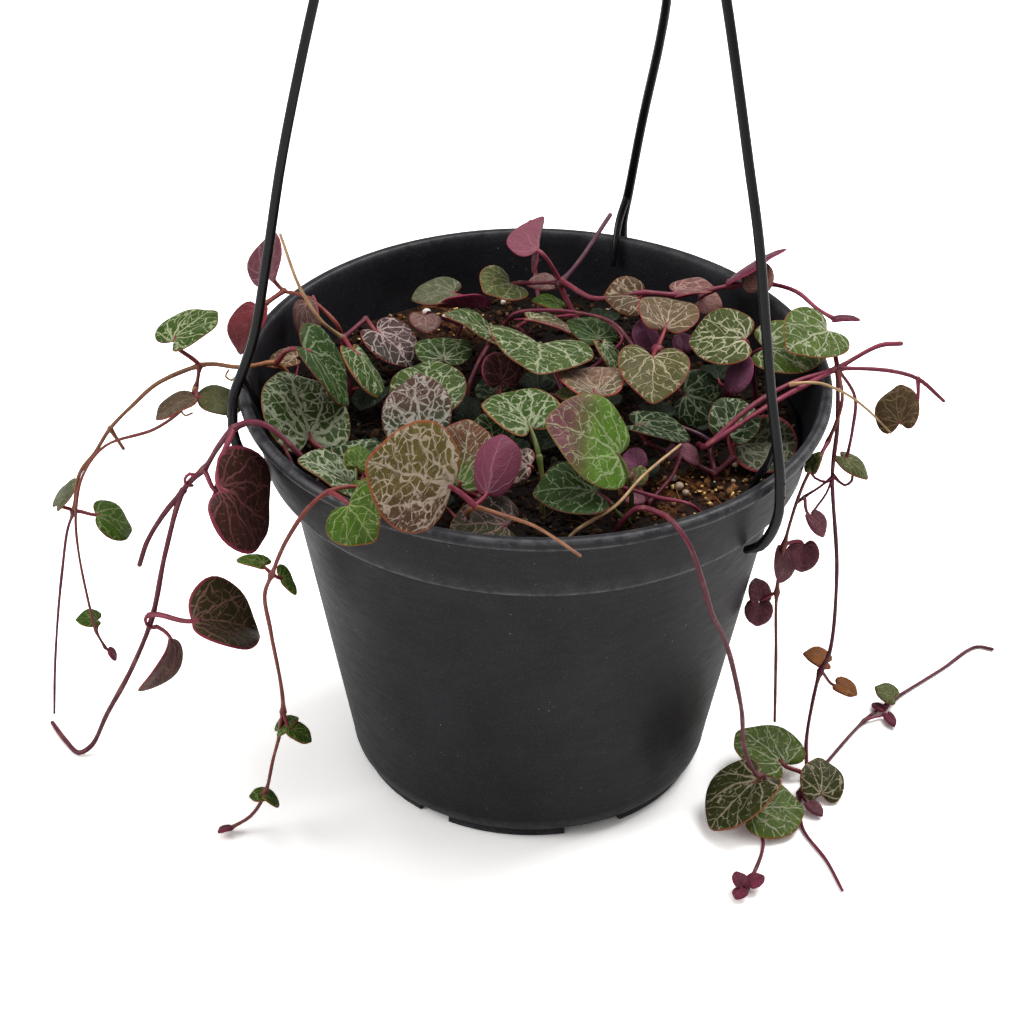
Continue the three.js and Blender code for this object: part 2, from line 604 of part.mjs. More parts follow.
// The soil's height: low waves, and a dip at the back wall where it has settled.
function soilHeight(x, y) {
  const waves = 0.5 * Math.sin(x / 9 + 1) * Math.cos(y / 7) + 0.5 * Math.sin(x / 5 - y / 6 + 2);
  const dip = 1.2 * Math.exp(-((x + 14) ** 2) / 300 - ((y - 60) ** 2) / 60);
  return SOIL_Z + waves - dip;
}

// A repeatable stream of numbers from 0 to 1.
function seeded(seed) {
  let state = seed;
  return () => {
    state = (state * 1664525 + 1013904223) % 4294967296;
    return state / 4294967296;
  };
}

function makeSoil() {
  const form = lathe(SOIL_PROFILE, SOIL_SIDES);
  const points = form.attributes.position;
  for (let i = 0; i < points.count; i += 1) {
    if (points.getZ(i) > SOIL_Z - 0.1) points.setZ(i, soilHeight(points.getX(i), points.getY(i)));
  }
  let soil = solid(form);
  const roots = Object.values(PLANTS).map(({ shoots }) => ({ radius: shoots[0][0], at: shoots[0][1] }));
  const random = seeded(7);
  let placed = 0;
  while (placed < GRAIN_COUNT) {
    const a = 2 * Math.PI * random();
    const r = 57 * Math.sqrt(random());
    const size = 1.1 + 0.9 * random();
    const [x, y] = [r * Math.cos(a), r * Math.sin(a)];
    if (roots.every(({ at }) => Math.hypot(at[0] - x, at[1] - y) > size + 2.5)) {
      const grain = new THREE.IcosahedronGeometry(size, 0).rotateX(a).rotateY(r);
      soil = soil.add(solid(grain.translate(x, y, soilHeight(x, y) + 0.1)));
      placed += 1;
    }
  }
  for (const { radius, at } of roots) {
    soil = soil.subtract(upright(radius + HOLE_CLEAR, at[0], at[1], HOLE_DEPTH_Z, SOIL_Z + 4, 5));
  }
  return soil;
}

// ---- hanger ----
// An arm's path in [distance from the axis, height], from the hub to the tip that grips the
// collar's lower edge. It swings out to clear the lip.
const GRIP = [[71.6, 109], [72, 104], [72, 99], [70.6, 93.5], [67.6, 88], [64, 85.2]];
const ARM_TOP = [[4, 351.2], [6, 346], [13, 332], [23, 306], [33, 278], [42, 248]];
const ARM_RIGHT = [...ARM_TOP, [50, 219], [54, 202], [58, 184], [62, 166], [65, 147], [68, 128], [70.2, 117]];
const ARM_LEFT = [...ARM_TOP, [48, 219], [51, 207], [55, 189], [59, 169], [63, 144], [66.5, 124], [69.8, 114]];
const LEG = [[70.2, 115.5], [68.4, 111], [65.7, 106], [63.9, 101]];   // inside the lip
const LEG_R = 0.9;
const RIGHT_AT = -40;
const LEFT_AT = 193;
const BACK_AT = 72.4;
const ARM_BACK = [
  [1.2, 3.8, 351.2], [2, 6, 346], [7, 11, 330], [14, 20, 300], [22, 34, 255], [28, 46, 215], [30, 56, 180],
  [29, 60, 165], [25.5, 64, 140], [22.8, 67, 118],
];

// [distance, height] pairs as points at an angle round the axis.
function around(pairs, angle) {
  return pairs.map(([r, z]) => [r * Math.cos(angle * DEG), r * Math.sin(angle * DEG), z]);
}

function makeArm(upper, angle) {
  const arm = rod([...upper, ...around(GRIP, angle)], ROD_R, 20, 7);
  const leg = rod([upper[upper.length - 1], ...around(LEG.slice(1), angle)], LEG_R, 8, 5);
  return arm.add(leg);
}

// The hub that the arms meet, its shank and the open hook.
function makeHook() {
  const hub = upright(6.5, 0, 0, HUB_Z, HUB_Z + 5, 16);
  const neck = upright(2.4, 0, 0, HUB_Z + 4, HUB_Z + 12, 10);
  const turn = Array.from({ length: 10 }, (_, i) => {
    const a = (-60 + 30 * i) * DEG;
    return [HOOK_R * Math.cos(a), 0, HOOK_Z + HOOK_R * Math.sin(a)];
  });
  const bend = rod([[0, 0, HUB_Z + 6], [0, 0, 367], [2, 0, 371.5], ...turn], 1.6, 8, 8);
  return join([hub, neck, bend]);
}

// ---- the part ----
const leaf = new THREE.MeshStandardMaterial({ color: '#4a6b3f', roughness: 0.5 });
leaf.name = 'leaf';
const dry = new THREE.MeshStandardMaterial({ color: '#b58a55', roughness: 0.8 });
dry.name = 'dry_stem';
const potPlastic = new THREE.MeshStandardMaterial({ color: '#2b2c30', roughness: 0.6 });
potPlastic.name = 'pot_plastic';
const hangerPlastic = new THREE.MeshStandardMaterial({ color: '#141518', roughness: 0.35 });
hangerPlastic.name = 'hanger_plastic';
const earth = new THREE.MeshStandardMaterial({ color: '#4a3020', roughness: 1 });
earth.name = 'soil';

const part = new THREE.Group();
part.name = 'string_of_hearts_in_hanging_pot';
part.add(mesh('pot', makePot(), potPlastic));
part.add(mesh('soil', makeSoil(), earth));
part.add(mesh('hanger_arm_right', makeArm(around(ARM_RIGHT, RIGHT_AT), RIGHT_AT), hangerPlastic));
part.add(mesh('hanger_arm_left', makeArm(around(ARM_LEFT, LEFT_AT), LEFT_AT), hangerPlastic));
part.add(mesh('hanger_arm_back', makeArm(ARM_BACK, BACK_AT), hangerPlastic));
part.add(mesh('hanger_hook', makeHook(), hangerPlastic));
for (const [name, { shoots, leaves }] of Object.entries(PLANTS)) {
  const plant = leafyStem({
    shoots: shoots.map(([radius, ...path]) => ({ radius, path })),
    leaves: leaves.map(([x, y, z, heading, pitch, roll, width, shape]) => ({
      at: [x, y, z], aim: [heading, pitch, roll], width, ...shape,
    })),
  });
  part.add(mesh(name, plant, name.startsWith('dried') ? dry : leaf));
}
export default part;
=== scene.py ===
"""A string of hearts in a black hanging nursery pot: the looks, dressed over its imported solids.

Lengths in the lists below are millimetres in the part's own frame: +Z up, +X right, +Y back, and
the origin on the pot's axis where the pot stands. Meshes are scaled to metres as they are made.
"""
import math

import bpy
import numpy as np
from mathutils import Matrix, Vector


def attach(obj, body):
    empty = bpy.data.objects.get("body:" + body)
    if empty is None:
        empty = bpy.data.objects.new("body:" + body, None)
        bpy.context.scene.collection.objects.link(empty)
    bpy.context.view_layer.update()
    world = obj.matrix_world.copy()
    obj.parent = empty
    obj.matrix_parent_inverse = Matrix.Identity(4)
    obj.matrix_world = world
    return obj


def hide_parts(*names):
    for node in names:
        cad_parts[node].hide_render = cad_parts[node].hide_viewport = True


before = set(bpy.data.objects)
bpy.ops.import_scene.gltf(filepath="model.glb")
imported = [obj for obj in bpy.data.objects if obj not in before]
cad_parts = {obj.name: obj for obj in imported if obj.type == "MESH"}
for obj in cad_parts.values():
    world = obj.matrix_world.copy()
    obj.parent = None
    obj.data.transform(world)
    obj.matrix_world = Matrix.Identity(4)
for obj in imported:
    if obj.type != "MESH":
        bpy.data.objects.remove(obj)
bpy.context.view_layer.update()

MM = 0.001
TAU = 2 * math.pi
ROOT, NECK = 84, 94            # height of a stem's lower end in the soil, and of its first joint

# ---- colours, as they look in daylight (red, green, blue out of 255) ----
STEM_TINTS = {
    "burgundy": (98, 32, 52), "rose": (128, 44, 68), "redbrown": (122, 56, 48),
    "amber": (138, 90, 58), "straw": (184, 150, 108), "green": (92, 106, 48),
    "purple": (84, 50, 66), "red": (126, 44, 52), "pink": (142, 56, 76), "brown": (136, 90, 62),
}


def look(face, net, share, heavy, margin, under, second=None, side=(0, 0.5), rim=0.017):
    """One leaf's look: the tints of its face, marbling, margin and underside; the marbling's share
    of the colour and how heavy it is; the margin's width in leaf widths; and the second tint of
    the face with the side it is on: the angle from the tip, to the left, and its part of the face."""
    return dict(face=face, net=net, share=share, heavy=heavy, margin=margin, under=under,
                second=second or face, side=side, rim=rim)


LOOKS = {
    "silver": look((54, 74, 28), (172, 178, 152), 0.74, 0.8, (108, 77, 47), (146, 100, 104)),
    "silver_thin": look((68, 88, 38), (176, 180, 150), 0.72, 0.35, (116, 71, 47), (150, 100, 104)),
    "silver_edged": look((62, 86, 34), (172, 178, 148), 0.72, 0.5, (139, 87, 52), (156, 98, 104), rim=0.028),
    "dark_silver": look((40, 56, 26), (150, 160, 132), 0.75, 0.55, (97, 71, 47), (130, 92, 96)),
    "deep": look((46, 70, 26), (154, 168, 130), 0.55, 0.12, (92, 55, 39), (140, 96, 96)),
    "green_silver": look((52, 74, 30), (168, 176, 144), 0.72, 0.35, (87, 77, 50), (140, 96, 96)),
    "fresh": look((66, 96, 20), (164, 172, 118), 0.52, 0.15, (126, 77, 45), (140, 128, 80)),
    "fresh_veined": look((84, 106, 36), (188, 190, 162), 0.72, 0.2, (134, 79, 49), (140, 120, 90)),
    "dark_veined": look((62, 66, 32), (190, 176, 150), 0.7, 0.2, (144, 84, 52), (130, 96, 90)),
    "plum_net": look((80, 54, 54), (186, 166, 164), 0.75, 0.4, (126, 57, 55), (158, 96, 106), (60, 50, 42),
        (60, 0.4)),
    "plum_to_green": look((56, 66, 42), (180, 172, 162), 0.68, 0.9, (94, 55, 49), (150, 92, 104), (88, 60, 54),
        (0, 0.42)),
    "olive_marbled": look((112, 100, 50), (198, 178, 160), 0.76, 0.7, (138, 71, 42), (168, 96, 104), (98, 66, 50),
        (250, 0.4), 0.024),
    "cup": look((52, 30, 26), (96, 64, 50), 0.2, 0.2, (148, 50, 77), (112, 56, 76), rim=0.03),
    "dark_olive": look((60, 62, 34), (150, 120, 120), 0.6, 0.3, (126, 76, 50), (120, 80, 84), (52, 40, 34),
        (90, 0.5)),
    "leafgreen_red": look((80, 112, 36), (180, 178, 148), 0.55, 0.35, (131, 62, 49), (160, 90, 96), (104, 66, 50),
        (0, 0.5)),
    "speckled_rose": look((96, 70, 64), (206, 188, 174), 0.78, 0.9, (148, 66, 74), (168, 92, 106)),
    "blushed": look((90, 126, 40), (184, 192, 150), 0.44, 0.25, (111, 91, 50), (160, 100, 110), (112, 58, 68),
        (0, 0.36)),
    "rosy_silver": look((142, 110, 90), (196, 178, 160), 0.5, 0.5, (151, 64, 55), (176, 96, 108), (104, 92, 66),
        (180, 0.3), 0.03),
    "maroon": look((72, 40, 38), (150, 92, 96), 0.45, 0.2, (139, 55, 74), (96, 44, 54), rim=0.035),
    "rosy_green": look((92, 96, 56), (192, 178, 156), 0.6, 0.35, (143, 71, 66), (170, 98, 110), (120, 82, 76),
        (40, 0.4)),
    "grey_green": look((96, 98, 72), (160, 160, 134), 0.45, 0.2, (126, 81, 66), (150, 116, 110)),
    "grey_rose": look((118, 84, 80), (180, 152, 146), 0.5, 0.2, (143, 62, 69), (166, 104, 114)),
    "magenta": look((106, 42, 66), (176, 104, 124), 0.25, 0.1, (139, 50, 76), (122, 48, 74)),
    "brown_silver": look((96, 70, 48), (184, 166, 142), 0.65, 0.5, (134, 71, 50), (150, 96, 98)),
    "grey_brown": look((96, 78, 62), (160, 140, 118), 0.45, 0.2, (134, 60, 50), (160, 100, 100)),
    "rose_under": look((116, 64, 76), (176, 126, 134), 0.35, 0.2, (134, 50, 69), (124, 70, 84)),
    "olive": look((88, 94, 50), (164, 164, 122), 0.55, 0.3, (139, 71, 50), (150, 104, 100)),
    "olive_fine": look((88, 84, 48), (184, 172, 142), 0.75, 0.15, (141, 66, 54), (160, 96, 100)),
    "olive_edged": look((74, 84, 40), (188, 184, 154), 0.8, 0.3, (138, 74, 49), (160, 104, 100)),
    "dark_magenta": look((72, 76, 54), (152, 150, 128), 0.75, 0.9, (148, 59, 71), (160, 70, 96), rim=0.045),
    "rosy_brown": look((106, 86, 64), (190, 168, 146), 0.7, 0.2, (144, 62, 54), (168, 94, 104)),
    "dark_red": look((118, 44, 54), (160, 100, 100), 0.25, 0.15, (134, 42, 55), (130, 54, 68)),
    "olive_under": look((92, 92, 58), (130, 124, 90), 0.3, 0.2, (101, 67, 47), (112, 100, 82)),
    "brown_olive": look((98, 72, 40), (140, 110, 86), 0.45, 0.2, (134, 52, 67), (120, 62, 66), (58, 30, 30),
        (180, 0.5), 0.035),
    "dark_olive_rose": look((78, 66, 42), (160, 120, 110), 0.6, 0.3, (148, 55, 69), (140, 76, 86), rim=0.035),
    "brown_under": look((92, 70, 46), (146, 124, 98), 0.6, 0.3, (126, 64, 50), (128, 92, 80)),
    "bronze": look((140, 80, 40), (184, 140, 92), 0.4, 0.1, (134, 55, 34), (150, 84, 60)),
    "bud": look((124, 50, 72), (180, 116, 132), 0.15, 0.1, (131, 50, 71), (126, 52, 74)),
    "dark_net": look((28, 44, 20), (134, 144, 116), 0.55, 0.5, (72, 49, 37), (84, 56, 58)),
    "violet": look((108, 58, 84), (160, 104, 132), 0.2, 0.1, (126, 54, 82), (112, 60, 86)),
    "dusty": look((128, 76, 90), (186, 132, 146), 0.3, 0.15, (126, 50, 71), (136, 66, 88)),
    "tan_pink": look((150, 104, 98), (204, 164, 150), 0.3, 0.2, (148, 77, 76), (146, 92, 92)),
    "pink_spotted": look((140, 92, 88), (200, 164, 156), 0.6, 0.3, (134, 55, 67), (156, 84, 98)),
    "fresh_net": look((64, 88, 34), (174, 182, 140), 0.75, 0.3, (109, 71, 50), (128, 110, 80)),
    # painted shade: a near-black leaf colour, for the small leaves that fill the dark gaps deep among the others
    "shade": look((20, 26, 17), (70, 84, 66), 0.5, 0.3, (42, 29, 24), (48, 30, 32)),
}

# ---- the leafy stems: for each its shoots and its leaves ----
# Shoot: radius, or its first and last radius, tint, points. A first point without a height stands
# for two points, at ROOT and at NECK. Leaf: x, y, z of its notch, heading, pitch, roll, width, look,
# the stalk's tint and the shape where it is its own. Each leaf hangs on the nearest joint, which is
# any point of a shoot but its first. Last in some lists are small leaves low down among the others.
PLANTS = {
    "stem_left_01": ([
        (0.65, "burgundy", (-49, -24), (-49, -22, 98)),
        (0.5, "burgundy", (-61, 8, 98), (-62.6, -5.6, 102.6), (-60.6, -18, 103), (-56, -31, 101.5), (-50, -41, 96)),
    ], [
        (-52, -21, 100.5, 109, 33, 22, 24, "silver", "red"),
    ]),
    "stem_left_02": ([
        (0.65, "burgundy", (-44, 11), (-46, 13, 100), (-46, 15, 106)),
        (0.6, "burgundy", (-46, 15, 106), (-41, 24, 106)),
        (0.45, "straw", (-46, 15, 106), (-51, 13, 112), (-56, 16, 119), (-61, 24, 129)),
    ], [
        (-42.5, 9, 106, 317, -35, -35, 17, "silver_edged", "red", dict(fold=-6)),
        (-38, 20, 105, 324, -23, -2, 15, "plum_net", "red"),
        (-38, 4, 98, 240, -5, 10, 9, "shade", "red"),
    ]),
    "stem_left_03": ([
        (0.7, "burgundy", (-30, -12), (-29, -10, 98), (-27, -10, 101)),
        (0.6, "burgundy", (-30, -12, 94), (-29, -22, 98), (-27, -28, 103)),
        (0.5, "burgundy", (-30, -12, 94), (-28, 0, 96), (-24, 8, 99)),
    ], [
        (-22, 12, 102, 89, 5, 2, 14, "green_silver", "purple"),
        (-25, -12, 105, 91, 20, -6, 18, "silver_thin", "red", dict(fold=6)),
        (-26, -31, 107, 100, 44, -23, 17, "plum_to_green", "pink", dict(fold=15, long=1.09, notch=0.18)),
        (-36, -18, 98, 246, -31, 12, 6.8, "shade", "purple"),
        (-30, 3, 97, 150, 5, 10, 10, "shade", "red"),
    ]),
    "stem_front_01": ([
        (0.65, "burgundy", (-40, -37), (-40, -41, 98), (-38, -43, 103), (-38, -43, 106)),
        (0.6, "burgundy", (-40, -37, 94), (-41, -33, 97)),
    ], [
        (-42, -43, 103, 180, 37, 5, 16, "silver", "green"),
        (-41, -29, 99, 70, 14, -5, 12, "dark_silver", "green"),
        (-40, -43, 107.5, 80, 35, 20, 7, "fresh", "red"),
        (-39, -45, 105, 295, -20, 0, 5, "fresh", "red"),
    ]),
    "stem_front_02": ([
        ((0.65, 0.4), "brown", (-14, -50), (-14, -52, 99), (-15, -57, 105), (-13, -60, 108.5), (-6, -64, 109),
         (0, -67, 108.6), (5, -71, 107.8), (10, -75, 106.5)),
        (0.6, "brown", (-14, -50, 94), (-11, -54, 97)),
    ], [
        (-18, -61, 114.5, 216, 34, -72, 25, "olive_marbled", "pink", dict(fold=4, curl=6, notch=0.07)),
        (-10.4, -53.2, 107.7, 75, 66, 178, 14, "cup", "pink", dict(fold=42, curl=-48, long=1.1, notch=0.1)),
        (-6, -56, 101, 180, 4, -16, 16, "dark_olive", "red"),
        (-20, -44, 98, 150, 5, 0, 8, "shade", "red"),
    ]),
    "stem_middle_01": ([
        (0.7, "burgundy", (-10, -37), (-13, -40.5, 98)),
        (0.6, "burgundy", (-10, -37, 94), (-8, -31, 97), (-7, -28, 99)),
    ], [
        (-17, -45, 104, 79, 45, 8, 16, "leafgreen_red", "red", dict(fold=26, long=1.12, notch=0.15)),
        (-8.6, -28, 103, 111, 35, 14, 12, "green_silver", "green", dict(fold=2)),
        (-1, -36, 104, 142, -19, -43, 9, "speckled_rose", "red", dict(fold=-2, notch=0.12)),
        (-3, -19, 96, 102, 38, 2, 5.2, "shade", "red", dict(fold=16)),
        (-6, -45, 97, 101, 58, 44, 5, "shade", "red"),
        (-14, -27, 97, 130, 10, 10, 8, "shade", "purple"),
    ]),
    "stem_middle_02": ([
        (0.65, "green", (2, -38), (2, -37, 99), (1, -34, 105)),
    ], [
        (-1, -29, 110, 121, 8, 1, 19, "silver_edged", "green", dict(fold=22)),
        (6, -30, 97, 60, 10, 0, 8, "shade", "red"),
    ]),
    "stem_front_03": ([
        (0.65, "green", (21, -42), (22, -44, 100), (21, -46, 108)),
        (0.6, "green", (21, -42, 94), (19, -48, 99), (17, -51, 104)),
    ], [
        (19, -45, 113, 194, 39, -31, 23, "blushed", "green", dict(fold=9, notch=0.2)),
        (14, -51, 107, 180, 6, -9, 18, "deep", "pink"),
        (13, -38, 97, 140, 10, 0, 8, "shade", "purple"),
    ]),
    "stem_middle_03": ([
        (0.65, "burgundy", (8, -3), (7, 1, 99), (3, 9, 105)),
        (0.6, "burgundy", (8, -3, 94), (13, -11, 98), (15, -14, 104)),
    ], [
        (1, 8, 110, 270, 18, -12, 26, "silver_thin", "green", dict(fold=14)),
        (14, -11, 108, 106, 0, 4, 17, "rosy_silver", "red", dict(fold=22)),
        (1, 6, 98, 95, 13, -2, 9, "shade", "purple"),
        (10.9, -5.6, 103, 166, 12, 5, 7.9, "olive", "pink"),
        (4, -12, 97, 250, 5, 5, 9, "shade", "purple"),
        (14, 3, 97, 20, 5, 5, 9, "shade", "red"),
    ]),
    "stem_middle_04": ([
        (0.65, "burgundy", (-15, 1), (-16, 2, 99), (-13, 8, 105), (-10, 13, 108)),
        (0.5, "burgundy", (-15, 1, 94), (-11, -1, 96), (-8, -2, 100)),
    ], [
        (-11, 17, 106, 172, 34, 15, 15, "silver_thin", "purple"),
        (-8, 1, 103, 99, 42, 17, 10, "maroon", "red"),
        (-9, 2, 99, 86, 14, -13, 11.4, "dark_net", "red", dict(fold=0)),
        (-16, -7, 98, 94, 28, -3, 8.3, "shade", "red"),
    ]),
    "stem_back_01": ([
        (0.65, "burgundy", (8, 19), (4, 20, 98), (-4, 23, 105)),
        (0.6, "burgundy", (8, 19, 94), (14, 18, 97), (17, 18, 100)),
        ((0.5, 0.3), "rose", (17, 18, 100), (21, 20, 104), (15, 26, 106.5), (4, 28, 105), (-5, 28, 104)),
        (0.5, "burgundy", (-9, 31, 97), (-5, 26, 107), (2.2, 25.7, 108.2), (10.7, 25, 108), (18.3, 22, 107.4),
         (24, 14, 105)),
    ], [
        (-1, 22, 108, 356, -10, -19, 13, "rosy_green", "red"),
        (15, 21, 103, 118, 11, 11, 13, "deep", "red"),
        (16, 17, 104, 307, -32, -31, 10, "silver_edged", "red"),
    ]),
    "stem_back_02": ([
        (0.65, "burgundy", (-20, 29), (-18, 32, 100), (-15, 35, 105)),
        (0.5, "burgundy", (-18, 32, 100), (-26, 32, 103)),
    ], [
        (-20, 37, 106, 185, 0, 0, 13, "grey_green", "red"),
        (-27, 29, 104, 279, -3, -4, 8, "grey_rose", "red"),
        (-13, 33, 105, 180, 6, 43, 14, "magenta", "pink"),
        (-24, 24, 97, 200, 0, 0, 9, "shade", "red"),
    ]),
    "runner_back": ([
        ((0.75, 0.55), "rose", (12, 31), (10, 33, 101), (6, 36, 110), (14, 27, 111), (26, 30, 111), (35, 31, 110),
         (48, 35, 110.5), (56, 37, 110), (63, 33, 110.3), (68, 27, 109), (72, 23, 108.5)),
        (0.55, "burgundy", (6, 36, 110), (-4, 37, 109)),
        (0.6, "purple", (6, 36, 110), (10, 40, 113), (18, 52, 120)),
    ], [
        (25, 29, 110, 197, 15, -34, 11, "brown_silver", "red"),
        (0, 33.4, 120, 90, 4, -131, 16.5, "rose_under", "pink", dict(fold=55)),
        (-6, 36, 109.5, 233, 17, -19, 13, "olive", "red"),
        (4, 42, 106, 180, 5, 0, 8, "grey_rose", "red"),
        (6, 34, 104, 176, 22, 9, 9, "fresh", "red"),
        (46, 34.3, 111.5, 18, 36, -34, 15, "magenta", "pink", dict(fold=-4, long=1.1, notch=0.05)),
        (54, 31.6, 112, 94, 52, -23, 8.6, "tan_pink", "pink", dict(fold=22)),
        (34, 35.2, 108.5, 355, 15, -9, 12, "pink_spotted", "pink"),
        (72, 22, 109, 5, 6, -18, 5, "magenta", "pink", dict(long=1.5)),
        (40.3, 38.9, 104, 353, -12, 29, 7.3, "tan_pink", "pink", dict(fold=2)),
        (16, 37, 99, 60, 0, 0, 8, "shade", "red"),
    ]),
    "stem_right_01": ([
        (0.65, "burgundy", (29, 7), (29, 8, 100), (29, 10, 107)),
    ], [
        (31, 16, 110, 80, 7, 7, 16, "rosy_brown", "red", dict(fold=22)),
        (27.6, 0.9, 111, 269, -11, -3, 17.7, "olive_fine", "red", dict(fold=18, curl=6, long=1.04)),
        (28.7, 19.9, 102, 123, 28, -40, 9.6, "violet", "red", dict(fold=51, long=1.12)),
        (35.8, 18.4, 102, 103, 33, -8, 6.1, "violet", "red", dict(fold=33)),
        (22, 10, 98, 160, 0, 10, 9, "shade", "red"),
    ]),
    "stem_right_02": ([
        (0.65, "burgundy", (44, 3), (46, 4, 100), (50, 8, 108)),
        (0.6, "burgundy", (44, 3, 94), (39, 4, 98), (35, 4, 102)),
    ], [
        (49.6, 5.8, 113, 171, -5, -20, 17.3, "olive_edged", "red", dict(curl=6, long=0.92, notch=0.2)),
        (35, -5, 104, 11, -22, 52, 13.8, "dark_net", "red", dict(fold=5)),
        (46, -2, 103, 68, 47, -37, 10, "violet", "pink", dict(fold=-7, notch=0.05)),
        (44, 12, 98, 100, 5, 0, 9, "shade", "red"),
        (40, -3, 97, 260, 5, 0, 8, "shade", "purple"),
    ]),
    "stem_right_03": ([
        (0.65, "burgundy", (53, 12), (52, 11, 100), (52, 9, 107)),
    ], [
        (54, 8, 109.4, 355, -5, 14, 18, "fresh_veined", "red", dict(curl=2)),
    ]),
    "stem_right_04": ([
        (0.65, "burgundy", (42, -23), (41, -18, 96), (41, -14, 97)),
        (0.6, "burgundy", (42, -23, 94), (34, -21, 97), (26, -21, 101)),
        (0.6, "burgundy", (42, -23, 94), (46, -21, 97)),
    ], [
        (45, -18.5, 102, 70, 30, 18, 13, "dark_silver", "red", dict(fold=24)),
        (23.4, -21, 106, 348, -4, -12, 16, "dark_net", "red"),
        (46.5, -16.5, 98, 15, -8, 60, 16.4, "dark_magenta", "pink", dict(fold=34, long=1.1, notch=0.12)),
        (31.5, -11.5, 102, 160, 20, 11, 9.8, "shade", "purple"),
        (32.6, -21.4, 100, 229, -41, 12, 4.2, "dusty", "pink"),
    ]),
    "stem_front_04": ([
        (0.7, "burgundy", (26, -36), (24, -37, 98), (22, -35, 101)),
        (0.5, "burgundy", (26, -36, 94), (32, -28, 97), (33.5, -24, 99)),
        (0.5, "burgundy", (24, -37, 98), (21, -40, 98)),
        (0.5, "rose", (12.5, -38, 96), (16, -40.5, 102), (21, -43.8, 103.3), (27.5, -46.5, 103), (35, -48.5, 102.5),
         (39, -46, 97)),
    ], [
        (24, -31.6, 101, 122, 27, -31, 7, "violet", "pink", dict(fold=36)),
        (25.5, -33, 100, 60, 38, -5, 5.8, "shade", "red"),
        (34, -20.5, 99, 333, -25, -7, 7, "dusty", "pink"),
        (21.4, -40.8, 99, 351, -1, 15, 5, "dusty", "pink"),
        (23.3, -36.9, 100, 79, 41, -24, 5.9, "olive", "pink"),
    ]),
    "dried_stem_front": ([
        ((0.55, 0.35), "straw", (7, -55), (9, -58, 101), (18, -54, 105.5), (24, -46, 108), (33, -34, 109)),
    ], []),
    "runner_left": ([
        ((0.65, 0.5), "redbrown", (-44, 26), (-46, 22, 100), (-48, 19, 108), (-54, 24, 111), (-58, 28, 110.5),
         (-61, 30, 110), (-64, 31, 113)),
        (0.6, "redbrown", (-61, 30, 110), (-65, 22, 111)),
    ], [
        (-64.7, 28.3, 115, 89, 46, -51, 14, "rose_under", "pink", dict(fold=15)),
        (-66.5, 15.5, 112.7, 234, -42, 21, 13.7, "dark_red", "red", dict(fold=17)),
        (-55, 25, 109, 280, -50, 65, 13, "grey_rose", "red"),
    ]),
    "trailing_stem_left_outer": ([
        ((0.65, 0.5), "amber", (-55, 3), (-57, 2, 101), (-61, 0, 108), (-66, -2, 108.5), (-70, -2, 108),
         (-76, 0, 107.5), (-79, 0, 107), (-89, 0, 102), (-95, 0, 96), (-101, 0, 89), (-105, 0, 82), (-109, 0, 76),
         (-111, 0, 65)),
        ((0.45, 0.35), "burgundy", (-111, 0, 65), (-113, 1, 59), (-115, 1, 47), (-117, 2, 33), (-119, 3, 15),
         (-120, 3, 1)),
        ((0.45, 0.35), "redbrown", (-79, 0, 107), (-80, -2, 102), (-83, -3, 97), (-90, -3, 91), (-102, -3, 86),
         (-108, -3, 77), (-110, -4, 67), (-110, -4, 56), (-108, -4, 38), (-107, -4, 32), (-105, -4, 27)),
        (0.5, "amber", (-101, 0, 89), (-98, -1, ROOT)),
        (0.3, "straw", (-66, -2, 108.5), (-70, -1, 105.4), (-71.5, -1, 103.7), (-72.9, -1, 104.8),
         (-72.1, -1, 106.5)),
        (0.3, "straw", (-80, -2, 102), (-81.5, -3, 97.5), (-83.5, -3, 96.3), (-82.6, -3, 94.9), (-81, -3, 95.6)),
    ], [
        (-53, -10, 118.5, 355, -50, -3, 22, "deep", "red"),
        (-57, 7, 105, 184, -6, 2, 9, "brown_silver", "red"),
        (-85, 0, 114, 39, 23, -10, 16, "fresh_net", "red", dict(fold=7)),
        (-79.5, -4.4, 101, 197, -14, 8, 10.7, "grey_brown", "red", dict(notch=0.03)),
        (-79.3, -4.6, 101, 7, -5, 7, 11, "olive_under", "red", dict(fold=0, notch=0.03)),
        (-115.3, 1.8, 66, 42, 47, -28, 9.4, "grey_green", "red", dict(fold=-4)),
        (-105.8, 0.3, 64, 24, -30, 22, 12, "fresh", "red", dict(fold=0, notch=0.1)),
        (-107, -0.5, 33, 184, 8, -5, 6.7, "fresh", "red"),
        (-104, -4, 26, 0, -55, 0, 4, "bud", "pink"),
    ]),
    "trailing_stem_left_inner": ([
        ((0.8, 0.65), "burgundy", (-48, -28), (-51, -32, 100), (-57, -30, 106), (-61, -28, 108.4), (-65, -27, 108.8),
         (-69, -27, 107), (-73, -24, 100), (-77, -20, 91), (-79, -20, 89), (-82, -20, 85), (-87, -20, 67),
         (-91, -20, 48), (-97, -18, 31), (-104, -15, 15), (-109, -13, 3), (-112, -13, 1), (-116, -8, 1),
         (-120, -1, 1)),
        (0.7, "burgundy", (-82, -20, 85), (-87, -20, 78), (-91, -21, 71), (-93, -22, 65)),
        (0.4, "pink", (-79, -20, 89), (-80.3, -20.3, 89.9), (-81.5, -20.5, 88.5), (-81, -20.5, 86.8),
         (-79.8, -20.3, 86.6)),
        (0.4, "pink", (-91, -20, 48), (-91.6, -20.5, 49.2), (-92.6, -20.5, 47.9), (-91.8, -20.5, 45.5),
         (-90, -20.3, 45.6)),
    ], [
        (-71, -38.5, 98, 22, -46, 41, 26, "maroon", "pink", dict(long=0.88)),
        (-74, -24, 88, 90, -45, 90, 22, "brown_olive", "pink", dict(fold=17, notch=0.1)),
